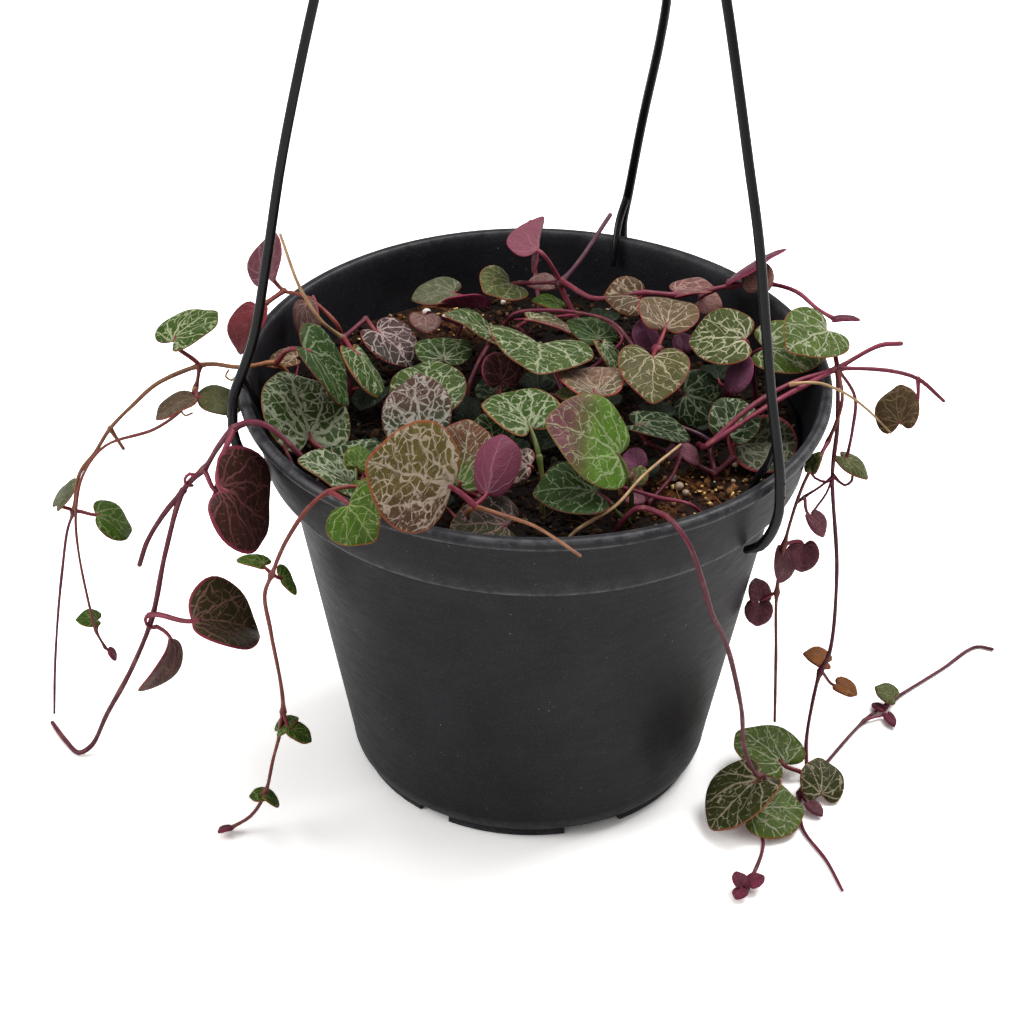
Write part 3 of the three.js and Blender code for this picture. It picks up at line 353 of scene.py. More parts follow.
        (-80.5, -26, 52, 19, -18, 18, 24, "dark_olive_rose", "pink", dict(fold=27, long=0.8, notch=0.12)),
        (-86, -22.8, 44, 259, -47, -81, 13, "grey_rose", "pink", dict(fold=19, curl=40, long=1.17, notch=0.05)),
    ]),
    "trailing_stem_front_left": ([
        ((0.6, 0.45), "redbrown", (-34, -44), (-36, -48, 101), (-40, -51, 107.6), (-46, -54, 108), (-50, -57, 106),
         (-55, -58, 98), (-59, -55, 86), (-61, -52, 78), (-60, -50, 66), (-58, -47, 41), (-61, -46, 25),
         (-63, -45, 15), (-67, -43, 6), (-72, -42, 1.4)),
    ], [
        (-41, -62, 110, 296, -6, 41, 15, "fresh", "red"),
        (-61, -54, 88, 159, 6, 15, 8, "fresh", "red"),
        (-57, -52, 83, 44, -43, 33, 8, "fresh", "red"),
        (-59, -48, 36, 21, 38, -12, 7, "fresh", "red"),
        (-56, -50, 38, 350, -22, 0, 7, "fresh", "red"),
        (-63, -44, 13.4, 184, 2, -7, 5, "fresh", "red"),
        (-63, -46, 15, 7, -40, 0, 6, "fresh", "red"),
        (-72, -43, 2.2, 200, 0, 20, 4, "bud", "pink"),
    ]),
    "trailing_stem_front_right": ([
        ((0.7, 0.5), "burgundy", (18, -50), (19, -54, 100), (23, -57, 107), (28, -61, 108.3), (31, -65, 108.2),
         (34, -68, 105), (37, -67, 96), (40, -64, ROOT), (44, -59, 72), (49, -52, 48), (51, -44, 30), (55, -37, 16),
         (57, -31, 11.5), (58, -30, 7), (55, -34, 2), (57, -44, 1), (54, -56, 1), (52, -61, 1.2)),
    ], [
        (56, -32, 11, 217, -23, 11, 21, "dark_veined", "brown"),
        (54.5, -36.5, 4.8, 14, -4, 17, 17, "fresh_veined", "brown", dict(fold=4, curl=6)),
        (51, -62, 2.6, 110, 30, 20, 5, "bud", "pink"),
        (53, -61, 2.4, 30, 20, 0, 5, "bud", "pink"),
        (51, -63, 2, 240, 0, 0, 4, "bud", "pink"),
    ]),
    "trailing_stem_right": ([
        ((0.8, 0.6), "rose", (38.5, -10, ROOT), (38.5, -10, 93), (39, -16, 97), (40, -24, 102.5), (49, -18.5, 106.2),
         (56, -13.5, 108.2), (62.6, -8, 109), (71, 0, 109), (81, 4, 113), (86, 5, 113)),
        ((0.7, 0.6), "rose", (40, -24, 102.5), (49.5, -16.5, 108), (59, -8.5, 109.6), (71, 0, 109)),
        ((0.6, 0.5), "rose", (71, 0, 109), (79.5, -1, 109.5), (85, -1, 108.8), (90, -1, 107), (96.5, -1, 101)),
        ((0.6, 0.45), "burgundy", (71, 0, 109), (72, 0, 93), (71.7, 0, 79), (74.5, -1, 51), (74, -3, 28),
         (72, -4, 23), (70, -8, 14), (69, -12, 7), (69, -18, 1.4), (67, -25, 1.1), (67, -38, 0.7), (72, -50, 0.6),
         (75, -61, 0.8)),
        ((0.5, 0.4), "redbrown", (71, 0, 109), (72, -6, 104), (69, -10, 95), (64, -12, 85), (60, -14, 68),
         (59, -14, 54), (60, -12, 34), (61, -10, 12)),
        (0.45, "rose", (71, 0, 109), (76, 3, 99), (76, 3, 90), (75, 2, 82)),
        (0.45, "burgundy", (67, -25, 1.1), (75, -11, 0.7), (85, 5, 0.9), (93, 14, 0.9), (107, 28, 0.6),
         (117, 38, 0.6), (121, 37, 0.6)),
        ((0.45, 0.26), "straw", (59.5, -8.8, 109.8), (61.5, -9.4, 110.6), (66.3, -8.3, 109.9), (72.4, -7.2, 106.6),
         (78, -6.2, 101.6), (84, -6, 95)),
        (0.45, "rose", (90, -1, 107), (90, -3, 101), (88, -4, 97.5)),
        (0.4, "rose", (71.9, -0.5, 79), (70.4, -1, 77.5), (67.5, -1, 78.6), (66.2, -1, 80.6)),
        (0.4, "rose", (71.9, -0.5, 79), (74.7, -1, 76.6), (76.3, -1, 77.9), (76.4, -1, 79.2)),
        (0.35, "rose", (71.9, -0.5, 79), (68.6, -3, 77.4), (65, -3, 74.4), (63.4, -3, 72.6)),
        (0.35, "rose", (71.9, -0.5, 79), (70.2, -3, 75.4), (68.5, -3, 72.2), (67.2, -3, 69.8)),
    ], [
        (69, 9, 114, 226, 7, -19, 17, "fresh_veined", "red"),
        (86.2, -3.5, 96, 95, 42, -41, 12.4, "brown_under", "pink"),
        (74, 1.7, 83, 327, -20, -17, 10, "olive", "pink", dict(fold=2)),
        (64.7, -19, 92.7, 59, 52, -34, 6, "olive", "pink"),
        (60.7, -12, 65, 269, -58, -52, 9.9, "rose_under", "pink", dict(fold=5)),
        (65, -9.5, 65, 263, -69, -5, 8.9, "rose_under", "pink", dict(fold=30)),
        (55.2, -13, 51, 102, 50, 19, 6.9, "rose_under", "pink"),
        (55.1, -13.6, 50.4, 258, -55, -1, 7.1, "rose_under", "pink"),
        (74, 0, 23, 169, 23, 0, 8, "bronze", "red"),
        (77, 0, 16, 344, -13, 0, 7, "bronze", "red"),
        (63, -18, 5, 140, 18, 0, 18, "fresh_veined", "red"),
        (72, -27, 2.5, 88, 38, 18, 12, "dark_veined", "red"),
        (69, -30, 2, 310, -5, 0, 4, "rose_under", "pink", dict(long=1.5)),
        (93, 12, 3, 161, 29, -6, 7, "olive", "red"),
        (90, 9, 1.6, 130, 0, 0, 3, "bud", "pink", dict(long=1.6)),
        (91, 7, 1.6, 290, 0, 0, 3, "bud", "pink", dict(long=2)),
        (66.2, -11.8, 75, 315, -37, -14, 7.3, "rose_under", "pink"),
    ]),
    "trailing_stem_back": ([
        ((0.65, 0.45), "burgundy", (1, 50), (0, 56, 100), (-1, 63, 108), (-1, 68, 108.5), (-2, 73, 105),
         (-4, 74, 98), (-8, 73, 88), (-14, 72, 62), (-17, 70, 42), (-19, 69, 20), (-24, 68, 4), (-30, 65, 1)),
        (0.6, "burgundy", (-2, 73, 105), (6, 73, 96), (15, 73, 78), (21, 71, 58), (24, 68, 40)),
    ], [
        (-10, 72, 86, 185, -50, 30, 14, "silver", "red"),
        (-12, 71, 60, 350, -40, 20, 13, "deep", "red"),
        (-19, 69, 40, 190, -45, 0, 11, "silver", "red"),
        (-21, 68, 20, 190, -20, 10, 9, "fresh", "red"),
        (9, 72, 94, 355, -50, -20, 13, "deep", "red"),
        (17, 71, 76, 340, -30, 0, 12, "silver", "red"),
        (25, 67, 40, 350, -60, 0, 8, "fresh", "red"),
    ]),
}


# ---- mesh making ----
def linear(colour):
    """Colour out of 255, as it looks, to the light it sends back: the curve of screens undone."""
    c = np.asarray(colour, float) / 255
    return np.where(c <= 0.04045, c / 12.92, ((c + 0.055) / 1.055) ** 2.4)


def unit(v):
    """Vectors divided by their lengths."""
    v = np.asarray(v, float)
    return v / np.linalg.norm(v, axis=-1, keepdims=True)


def lengths_along(path):
    """Distance along a path from its start to each of its points."""
    return np.concatenate([[0], np.cumsum(np.linalg.norm(np.diff(path, axis=0), axis=1))])


def fan_faces(pole, ring, flip=False):
    """Triangles from one pole to each edge of a closed ring of points."""
    after = np.roll(ring, -1)
    parts = [np.full(len(ring), pole), after, ring] if flip else [np.full(len(ring), pole), ring, after]
    return np.stack(parts, -1)


def closed_faces(rows, columns, turned=False):
    """Quads of a grid of points whose last column joins its first, and the fans to the two poles
    that follow the grid; turned faces the other way."""
    row, column = np.meshgrid(np.arange(rows - 1), np.arange(columns), indexing="ij")
    a, b = row * columns + column, row * columns + (column + 1) % columns
    grid = np.stack([a, b, b + columns, a + columns], -1).reshape(-1, 4)
    ring, pole = np.arange(columns), rows * columns
    return [grid[:, ::-1] if turned else grid, fan_faces(pole, ring, not turned),
            fan_faces(pole + 1, ring + (rows - 1) * columns, turned)]


def new_object(name, data):
    """An object for the data, at the origin, in the scene."""
    made = bpy.data.objects.new(name, data)
    bpy.context.collection.objects.link(made)
    return made


def make_piece(name, patches, materials, node):
    """One mesh from patches: each is points in mm, faces by width, a material number and values
    at its points. It rides on the pot's body and stands for the CAD node."""
    points = np.concatenate([p["points"] for p in patches]) * MM
    sizes, corners, kinds, start = [], [], [], 0
    for p in patches:
        for faces in p["faces"]:
            faces = np.asarray(faces)
            corners.append((faces + start).ravel())
            sizes.append(np.full(len(faces), faces.shape[1]))
            kinds.append(np.full(len(faces), p.get("kind", 0)))
        start += len(p["points"])
    sizes, corners, kinds = np.concatenate(sizes), np.concatenate(corners), np.concatenate(kinds)
    mesh = bpy.data.meshes.new(name)
    mesh.vertices.add(len(points))
    mesh.vertices.foreach_set("co", points.astype(np.float32).ravel())
    mesh.loops.add(len(corners))
    mesh.loops.foreach_set("vertex_index", corners.astype(np.int32))
    mesh.polygons.add(len(sizes))
    mesh.polygons.foreach_set("loop_start", np.concatenate([[0], np.cumsum(sizes)[:-1]]).astype(np.int32))
    mesh.polygons.foreach_set("material_index", kinds.astype(np.int32))
    mesh.polygons.foreach_set("use_smooth", np.full(len(sizes), True))
    for value in sorted({k for p in patches for k in p.get("values", {})}):
        first = next(p["values"][value] for p in patches if value in p.get("values", {}))
        wide = np.ndim(first) == 2
        blank = (lambda n: np.zeros((n, 3))) if wide else np.zeros
        whole = np.concatenate([p.get("values", {}).get(value, blank(len(p["points"]))) for p in patches])
        layer = mesh.attributes.new(value, "FLOAT_VECTOR" if wide else "FLOAT", "POINT")
        layer.data.foreach_set("vector" if wide else "value", whole.astype(np.float32).ravel())
    mesh.update(calc_edges=True)
    mesh.validate()
    piece = new_object(name, mesh)
    for material in materials:
        mesh.materials.append(material)
    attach(piece, "root")
    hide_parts(node)
    return piece


def turned_path(points, step):
    """A centripetal Catmull-Rom curve through the points: on each span a cubic whose slopes at the
    ends are the weighted slopes of its neighbours, weights by the square root of the distances."""
    p = np.asarray(points, float)
    p = np.vstack([2 * p[0] - p[1], p, 2 * p[-1] - p[-2]])
    gap = np.maximum(np.linalg.norm(np.diff(p, axis=0), axis=1) ** 0.5, 1e-6)
    runs = []
    for i in range(len(p) - 3):
        a, b, c, d = p[i:i + 4]
        g0, g1, g2 = gap[i:i + 3]
        u = ((b - a) / g0 - (c - a) / (g0 + g1) + (c - b) / g1) * g1
        v = ((c - b) / g1 - (d - b) / (g1 + g2) + (d - c) / g2) * g1
        t = np.linspace(0, 1, max(3, int(round(np.linalg.norm(c - b) / step)) + 1))[:, None]
        span = b + u * t + (3 * (c - b) - 2 * u - v) * t ** 2 + (2 * (b - c) + u + v) * t ** 3
        runs.append(span if i == 0 else span[1:])
    return np.vstack(runs)


def carried_frames(path):
    """Two directions square to a path at each of its points, carried along it without twist: each
    frame is the last one reflected twice."""
    tangent = unit(np.gradient(path, axis=0))
    ref = np.array([0.0, 0, 1]) if abs(tangent[0][2]) < 0.9 else np.array([1.0, 0, 0])
    side = unit(np.cross(tangent[0], ref))
    sides = [side]
    for i in range(len(path) - 1):
        step = path[i + 1] - path[i]
        c = step @ step
        moved = side - 2 * (step @ side) / c * step
        turned = tangent[i] - 2 * (step @ tangent[i]) / c * step
        rest = tangent[i + 1] - turned
        c = rest @ rest
        side = unit(moved - 2 * (rest @ moved) / c * rest) if c > 1e-12 else unit(moved)
        sides.append(side)
    sides = np.array(sides)
    return tangent, sides, np.cross(tangent, sides)


CAP = np.array([0.92, 0.72, 0.40])      # radii of the three rings of a tube's rounded end


def capped(rows):
    """Rows for a path's points, with the first and the last repeated for the rings of its caps."""
    return np.vstack([np.repeat(rows[:1], len(CAP), 0), rows, np.repeat(rows[-1:], len(CAP), 0)])


def tube(path, radius, sides=10, tint=(0.5, 0.5, 0.5), section=None, kind=1):
    """A closed tube: at each point of the path a ring of the given radius, times the section's
    factor at each angle, and at both ends a rounded cap of three smaller rings and a pole."""
    path = np.asarray(path, float)
    radius = np.broadcast_to(np.asarray(radius, float), (len(path),))
    tangent, left, up = carried_frames(path)
    out = np.sqrt(1 - CAP ** 2)
    centre = np.vstack([path[0] - out[::-1, None] * radius[0] * tangent[0], path,
                        path[-1] + out[:, None] * radius[-1] * tangent[-1]])
    size = np.concatenate([CAP[::-1] * radius[0], radius, CAP * radius[-1]])
    left, up = capped(left), capped(up)
    angle = np.arange(sides) * TAU / sides
    shape = np.ones(sides) if section is None else section(angle)
    ring = (left[:, None] * (np.cos(angle) * shape)[None, :, None]
            + up[:, None] * (np.sin(angle) * shape)[None, :, None]) * size[:, None, None]
    rows, run = len(centre), lengths_along(centre)
    poles = np.array([path[0] - radius[0] * tangent[0], path[-1] + radius[-1] * tangent[-1]])
    points = np.vstack([(centre[:, None] + ring).reshape(-1, 3), poles])
    skin = np.stack([np.tile(np.cos(angle), (rows, 1)) * size[:, None],
                     np.tile(np.sin(angle), (rows, 1)) * size[:, None],
                     np.tile(run[:, None], (1, sides))], -1).reshape(-1, 3)
    skin = np.vstack([skin, [[0, 0, run[0]], [0, 0, run[-1]]]])
    tint = np.asarray(tint, float)
    if tint.ndim == 2:
        tint = capped(tint)
        tints = np.vstack([np.repeat(tint, sides, 0), tint[:1], tint[-1:]])
    else:
        tints = np.tile(tint, (len(points), 1))
    return dict(points=points, faces=closed_faces(rows, sides), kind=kind, values={"tint": tints, "skin": skin})


# ---- leaves ----
def heart_radius(angle, notch):
    """Distance from the outline's centre to the edge, in leaf widths: nearly round, wider to the
    notch's side, with a small tip at angle 0 and a notch between two lobes at half a turn."""
    tip = 0.055 * np.exp(-(angle / 0.3) ** 2)
    return 0.455 + 0.05 * (1 - np.cos(angle)) + tip - notch * np.exp(-((math.pi - angle) / 0.36) ** 2)


def leaf_axes(heading, pitch, roll):
    """The leaf's own axes: along its midrib, across to its left, and up from its face."""
    h, p, r = np.radians([heading, pitch, roll])
    along = np.array([math.cos(h) * math.cos(p), math.sin(h) * math.cos(p), math.sin(p)])
    level = np.array([-math.sin(h), math.cos(h), 0])
    across = level * math.cos(r) + np.cross(along, level) * math.sin(r)
    return along, across, np.cross(along, across)


def leaf_patch(at, aim, width, style, seed, fold=12, curl=12, long=1, notch=0.26):
    """A fleshy heart-shaped leaf. Rings of points go from the middle of its face to the margin and
    back to the middle of its underside. Its halves rise by the fold on both sides of the midrib,
    its length bends down through the curl, and its margin dips and waves a little. It is a
    millimetre thick, times the square root of one less the sixth power of the way to the margin."""
    rng = np.random.default_rng(seed)
    along, across, up = leaf_axes(*aim)
    big, middling = width > 14, width > 8.5
    columns = 56 if big else 44 if middling else 26
    q = np.arange(columns) / columns
    turn = TAU * q - 0.30 * np.sin(2 * TAU * q)
    rho = np.array([0.16, 0.36, 0.54, 0.70, 0.83, 0.92, 0.972, 0.993] if middling else [0.3, 0.6, 0.83, 0.96])
    rings = len(rho)
    rho = np.concatenate([rho, [1.0], rho[::-1]])
    face = np.concatenate([np.ones(rings), [0.5], np.zeros(rings)])
    edge = heart_radius(np.abs((turn + math.pi) % TAU - math.pi), notch) * width
    low = 0.555 - notch        # the outline's centre lies this far before the notch
    wave = rng.uniform(0, TAU, 3)
    edge = edge * (1 + 0.012 * np.sin(2 * turn + wave[0]) + 0.008 * np.sin(5 * turn + wave[1]))
    s = -rho[:, None] * edge * np.sin(turn)
    t = (rho[:, None] * edge * np.cos(turn) + low * width) * long
    half = 0.5 * (1 - rho ** 6) ** 0.5 * np.sign(face - 0.5)
    s = np.append(s.ravel(), [0, 0])
    t = np.append(t.ravel(), [low * width * long] * 2)
    half = np.append(np.repeat(half, columns), [0.5, -0.5])
    reach = np.append(np.repeat(rho, columns), [0, 0])
    turns = np.append(np.tile(turn, len(rho)), [0, 0])
    bend_r = 0.8 * width * long / math.radians(curl)
    f, soft = math.radians(fold), 0.05 * width
    rise = (np.sqrt(s ** 2 + soft ** 2) - soft) * math.sin(f) - bend_r * (1 - np.cos(t / bend_r))
    rise += -0.030 * width * reach ** 4 + 0.014 * width * reach ** 2 * np.sin(3 * turns + wave[2])
    rise += 0.008 * width * reach ** 2 * np.sin(5 * turns + wave[1])
    tilt_t = np.cos(t / bend_r)[:, None] * along - np.sin(t / bend_r)[:, None] * up
    tilt_s = math.cos(f) * across + (s / np.sqrt(s ** 2 + soft ** 2) * math.sin(f))[:, None] * up
    normal = unit(np.cross(tilt_t, tilt_s))
    points = (np.asarray(at, float) + (bend_r * np.sin(t / bend_r))[:, None] * along
              + (s * math.cos(f))[:, None] * across + rise[:, None] * up + half[:, None] * normal)
    to, part = math.radians(style["side"][0]), style["side"][1]
    toward = (-s * math.sin(to) + (t - 0.35 * width) * math.cos(to)) / width
    mixed = np.clip(0.5 + (toward + part - 0.5) * 2.2, 0, 1)
    mixed = (mixed ** 2 * (3 - 2 * mixed))[:, None]
    tint = (linear(style["face"]) * (1 - mixed) + linear(style["second"]) * mixed) * rng.uniform(0.86, 1.14)
    n = len(points)
    flat = np.zeros(n)

    def evenly(value):
        """The same three numbers at every point."""
        return np.tile(value, (n, 1))

    # marks: the marbling's share, how heavy it is, the margin's width; grade: face or underside, and
    # the way to the margin
    values = {
        "tint": tint, "net": evenly(linear(style["net"])), "under": evenly(linear(style["under"])),
        "rimtint": evenly(linear(style["margin"])),
        "blade": np.stack([s / width, t / width / long, flat], -1),
        "grain": np.stack([s, t, flat], -1) + rng.uniform(-40, 40, 3),
        "marks": evenly([style["share"], style["heavy"], style["rim"]]),
        "grade": np.stack([np.append(np.repeat(face, columns), [1, 0]), reach, flat], -1),
    }
    return dict(points=points, faces=closed_faces(len(rho), columns, True), values=values)


def stalk_path(start, at, aim, width):
    """From the stem's joint up to the notch: a cubic that leaves upwards and comes in under the midrib."""
    along, _, up = leaf_axes(*aim)
    reach = np.linalg.norm(at - start)
    b = start + 0.35 * (at - start) + np.array([0, 0, 0.12 * reach])
    c = at - 0.22 * reach * along - 0.20 * reach * up
    end = at + 0.06 * width * along
    t = np.linspace(0, 1, max(8, int(reach / 0.8)))[:, None]
    return start * (1 - t) ** 3 + 3 * b * t * (1 - t) ** 2 + 3 * c * t ** 2 * (1 - t) + end * t ** 3


def stem_tube(points, radius, tint, joints, seed):
    """A shoot: its radius goes evenly from its first value to its last, swells near each joint, as
    a bell curve, by 0.12 mm and a quarter, and wavers by a few hundredths; its tint drifts."""
    thick, thin = radius if isinstance(radius, tuple) else (radius, radius)
    path = turned_path(points, 1.3 if thick > 0.6 else 1.6)
    run = lengths_along(path)
    rng = np.random.default_rng(seed)
    shift = rng.uniform(0, 6, 4)
    radius = 0.92 * (thick + (thin - thick) * run / run[-1])
    size = radius * (1 + 0.06 * np.sin(run / 5 + shift[0]) + 0.04 * np.sin(run / 1.9 + shift[1]))
    for joint in joints:
        away = np.linalg.norm(path - joint, axis=1)
        size = size + (0.12 + 0.25 * radius) * np.exp(-(away / 1.3) ** 2)
    drift = 1 + 0.16 * np.sin(run / 23 + shift[2]) + 0.08 * np.sin(run / 7 + shift[3])
    return tube(path, size, 10, linear(STEM_TINTS[tint])[None] * drift[:, None])


def plant_piece(name, shoots, leaves, materials):
    """A leafy stem: its shoots, and for each leaf a stalk from the nearest joint and the blade."""
    number = sum(ord(c) * (i + 3) for i, c in enumerate(name))
    paths = [[(*p[0], ROOT), (*p[0], NECK), *p[1:]] if len(p[0]) == 2 else p for _, _, *p in shoots]
    paths = [np.array(path, float) for path in paths]
    joints = [joint for path in paths for joint in path[1:]]
    used, patches = [], []
    for i, (x, y, z, heading, pitch, roll, width, style, stalk, *rest) in enumerate(leaves):
        at, aim = np.array([x, y, z], float), (heading, pitch, roll)
        joint = min(joints, key=lambda p: np.linalg.norm(p - at))
        used.append(joint)
        patches.append(leaf_patch(at, aim, width, LOOKS[style], number + 17 * i, **(rest[0] if rest else {})))
        path = stalk_path(joint, at, aim, width)
        grow = np.linspace(1.15, 0.9, len(path))
        patches.append(tube(path, (0.30 + 0.014 * width) * grow, 8, linear(STEM_TINTS[stalk])))
    for i, (radius, tint, *_) in enumerate(shoots):
        near = used + [paths[i][0]] * (i > 0)
        patches.append(stem_tube(paths[i], radius, tint, near, number + 5 * i))
    return make_piece(name + "_plant", patches, materials, name)


# ---- materials ----
class Wire:
    """A value that a shader node gives; sums, differences, products and quotients lay Math nodes."""

    def __init__(self, board, socket):
        self.board, self.socket = board, socket

    def __add__(self, other):
        return self.board.math("ADD", self, other)

    def __radd__(self, other):
        return self.board.math("ADD", other, self)

    def __sub__(self, other):
        return self.board.math("SUBTRACT", self, other)

    def __rsub__(self, other):
        return self.board.math("SUBTRACT", other, self)

    def __mul__(self, other):
        return self.board.math("MULTIPLY", self, other)

    def __truediv__(self, other):
        return self.board.math("DIVIDE", self, other)


class Board:
    """Lays the nodes of one material or shader group."""

    def __init__(self, tree):
        self.tree = tree

    def node(self, kind, inputs=(), **settings):
        """A node with its settings, and values or wires for its inputs by name or number."""
        made = self.tree.nodes.new(kind)
        for key, value in settings.items():
            setattr(made, key, value)
        for key, value in inputs:
            self.feed(made.inputs[key], value)
        return made

    def feed(self, socket, value):
        """Links a wire to a socket, or gives the socket a value."""
        if isinstance(value, Wire):
            self.tree.links.new(value.socket, socket)
        else:
            socket.default_value = value

    def math(self, how, *values):
        """The sum, product or other function of numbers."""
        return Wire(self, self.node("ShaderNodeMath", enumerate(values), operation=how).outputs[0])

    def vector(self, how, a, b=None, scale=None):
        """The sum, product or other function of vectors."""
        inputs = [(0, a), (1, b), ("Scale", scale)]
        made = self.node("ShaderNodeVectorMath", [(k, v) for k, v in inputs if v is not None], operation=how)
        return Wire(self, made.outputs[0])

    def blend(self, share, a, b):
        """The first colour, going over to the second by the share."""
        a, b = ((*value, 1) if isinstance(value, tuple) else value for value in (a, b))
        made = self.node("ShaderNodeMix", [(0, share), (6, a), (7, b)], data_type="RGBA", blend_type="MIX")
        return Wire(self, made.outputs[2])

    def band(self, value, low, high, a=0.0, b=1.0):
        """Goes smoothly from a, where the value is low, to b, where it is high."""
        made = self.node("ShaderNodeMapRange", zip(("Value", "From Min", "From Max", "To Min", "To Max"),
                                                   (value, low, high, a, b)), interpolation_type="SMOOTHSTEP")
        return Wire(self, made.outputs["Result"])

    def noise(self, where, scale, detail, rough, out="Fac"):
        """Soft noise, from 0 to 1, with so many waves to a unit of length."""
        made = self.node("ShaderNodeTexNoise", zip(("Vector", "Scale", "Detail", "Roughness"),
                                                   (where, scale, detail, rough)))
        return Wire(self, made.outputs[out])

    def cells(self, where, scale, loose=1.0, feature="DISTANCE_TO_EDGE"):
        """Distance to the edge of cells that are as loosely set as said, or to their middle."""
        made = self.node("ShaderNodeTexVoronoi", zip(("Vector", "Scale", "Randomness"), (where, scale, loose)),
                         feature=feature)
        return Wire(self, made.outputs["Distance"])

    def value(self, name, out="Vector"):
        """A value kept at the mesh's points: a vector, a Color or a Fac."""
        return Wire(self, self.node("ShaderNodeAttribute", attribute_name=name).outputs[out])

    def place(self):
        """The place on the object, in metres."""
        return Wire(self, self.node("ShaderNodeTexCoord").outputs["Object"])

    def parts(self, vector):
        """A vector's three numbers."""
        return [Wire(self, s) for s in self.node("ShaderNodeSeparateXYZ", [(0, vector)]).outputs]


def marbling_group():
    """Silver marbling of a leaf. The midrib and main veins fan out from the notch at even angles
    and bend to the tip, side veins leave the midrib in chevrons, and two nets of rounded cells,
    2.4 and 1.1 mm wide, fill the rest. Lines are wider near the veins and break up at random.
    Blade is the place in leaf widths with the notch at 0, Grain is it in mm; Heavy is from a few
    thin lines at 0 to a full net at 1."""
    group = bpy.data.node_groups.new("Leaf marbling", "ShaderNodeTree")
    for key, way, kind in (("Blade", "INPUT", "Vector"), ("Grain", "INPUT", "Vector"), ("Heavy", "INPUT", "Float"),
                           ("Net", "OUTPUT", "Float"), ("Vein", "OUTPUT", "Float"), ("Speckle", "OUTPUT", "Float")):
        group.interface.new_socket(key, in_out=way, socket_type="NodeSocket" + kind)
    b = Board(group)
    into, out = b.node("NodeGroupInput").outputs, b.node("NodeGroupOutput").inputs
    blade, spot, heavy = (Wire(b, into[key]) for key in ("Blade", "Grain", "Heavy"))
    fan_step, row_step = 0.66, 0.19      # angle between main veins, distance between side veins
    warp = b.vector("SUBTRACT", b.noise(spot, 0.22, 2, 0.5, "Color"), (0.5, 0.5, 0.5))
    x, y, _ = b.parts(b.vector("ADD", blade, b.vector("SCALE", warp, scale=0.17)))
    x = b.math("ABSOLUTE", x)
    away = b.math("SQRT", x * x + y * y)
    angle = b.math("ARCTAN2", x, y)
    turn = b.math("FRACT", angle * (1.0 + away * 0.55) / fan_step + 0.5)
    fan = b.math("ABSOLUTE", turn - 0.5) * fan_step * away
    thin = (0.95 - away) * (0.006 + heavy * 0.016)
    main = 1.0 - b.band(fan, thin, thin + 0.014)
    rib_wide = (1.0 - y) * (0.006 + heavy * 0.022)
    rib = 1.0 - b.band(x, rib_wide, rib_wide + 0.014)
    step = b.math("ABSOLUTE", b.math("FRACT", (y - x * 0.8) / row_step) - 0.5) * row_step
    chevron = (1.0 - b.band(step, 0.002, 0.014)) * b.band(angle, 0.9, 0.5)
    grain = b.vector("ADD", spot, b.vector("SCALE", warp, scale=2.6))
    near = b.band(fan, 0.10, 0.0)
    patch = b.noise(spot, 0.16, 2, 0.6)
    wide = 0.018 + heavy * (0.028 + near * 0.06)
    wide = wide + b.band(patch, 0.45, 0.7) * (heavy * 0.04)
    net = 1.0 - b.band(b.cells(grain, 0.40, loose=0.95), wide, wide + 0.034)
    small = 1.0 - b.band(b.cells(grain, 0.85), wide, wide + 0.05)
    small = small * (b.band(heavy, 0.45, 1.0, 0.0, 0.9) * b.band(b.noise(spot, 0.35, 2, 0.6), 0.50, 0.60))
    torn = b.band(b.noise(spot, 0.55, 3, 0.65), 0.50 - heavy * 0.14, 0.60 - heavy * 0.14, 0.08, 1.0)
    net = b.math("MAXIMUM", net, small) * torn
    veins = b.math("MAXIMUM", main, rib)
    whole = b.math("MAXIMUM", b.math("MAXIMUM", veins, chevron * 0.8), net)
    rubbed = (b.band(b.noise(spot, 3.4, 3, 0.7), 0.34, 0.56, 0.60, 1.0)
              * b.band(b.noise(spot, 0.5, 2, 0.5), 0.3, 0.6, 0.75, 1.0))
    b.feed(out["Net"], whole * rubbed)
    b.feed(out["Vein"], b.math("MAXIMUM", veins, chevron * 0.6))
    b.feed(out["Speckle"], b.band(b.noise(spot, 4.2, 2, 0.6), 0.60, 0.70))
    return group


def new_material(name):
    """A material with its board and its own Principled shader."""
    material = bpy.data.materials.new(name)
    material.use_nodes = True
    return material, Board(material.node_tree), material.node_tree.nodes["Principled BSDF"]


def dress(board, shader, colour, rough, relief, depth, strength=0.5, specular=None, metallic=None):
    """Feeds a shader its colour, roughness and metal, and a relief of so many metres' depth."""
    board.feed(shader.inputs["Base Color"], colour)
    board.feed(shader.inputs["Roughness"], rough)
    if metallic is not None:
        board.feed(shader.inputs["Metallic"], metallic)
    if specular is not None:
        shader.inputs["Specular IOR Level"].default_value = specular
    made = board.node("ShaderNodeBump", [("Height", relief), ("Distance", depth), ("Strength", strength)])
    board.feed(shader.inputs["Normal"], Wire(board, made.outputs[0]))


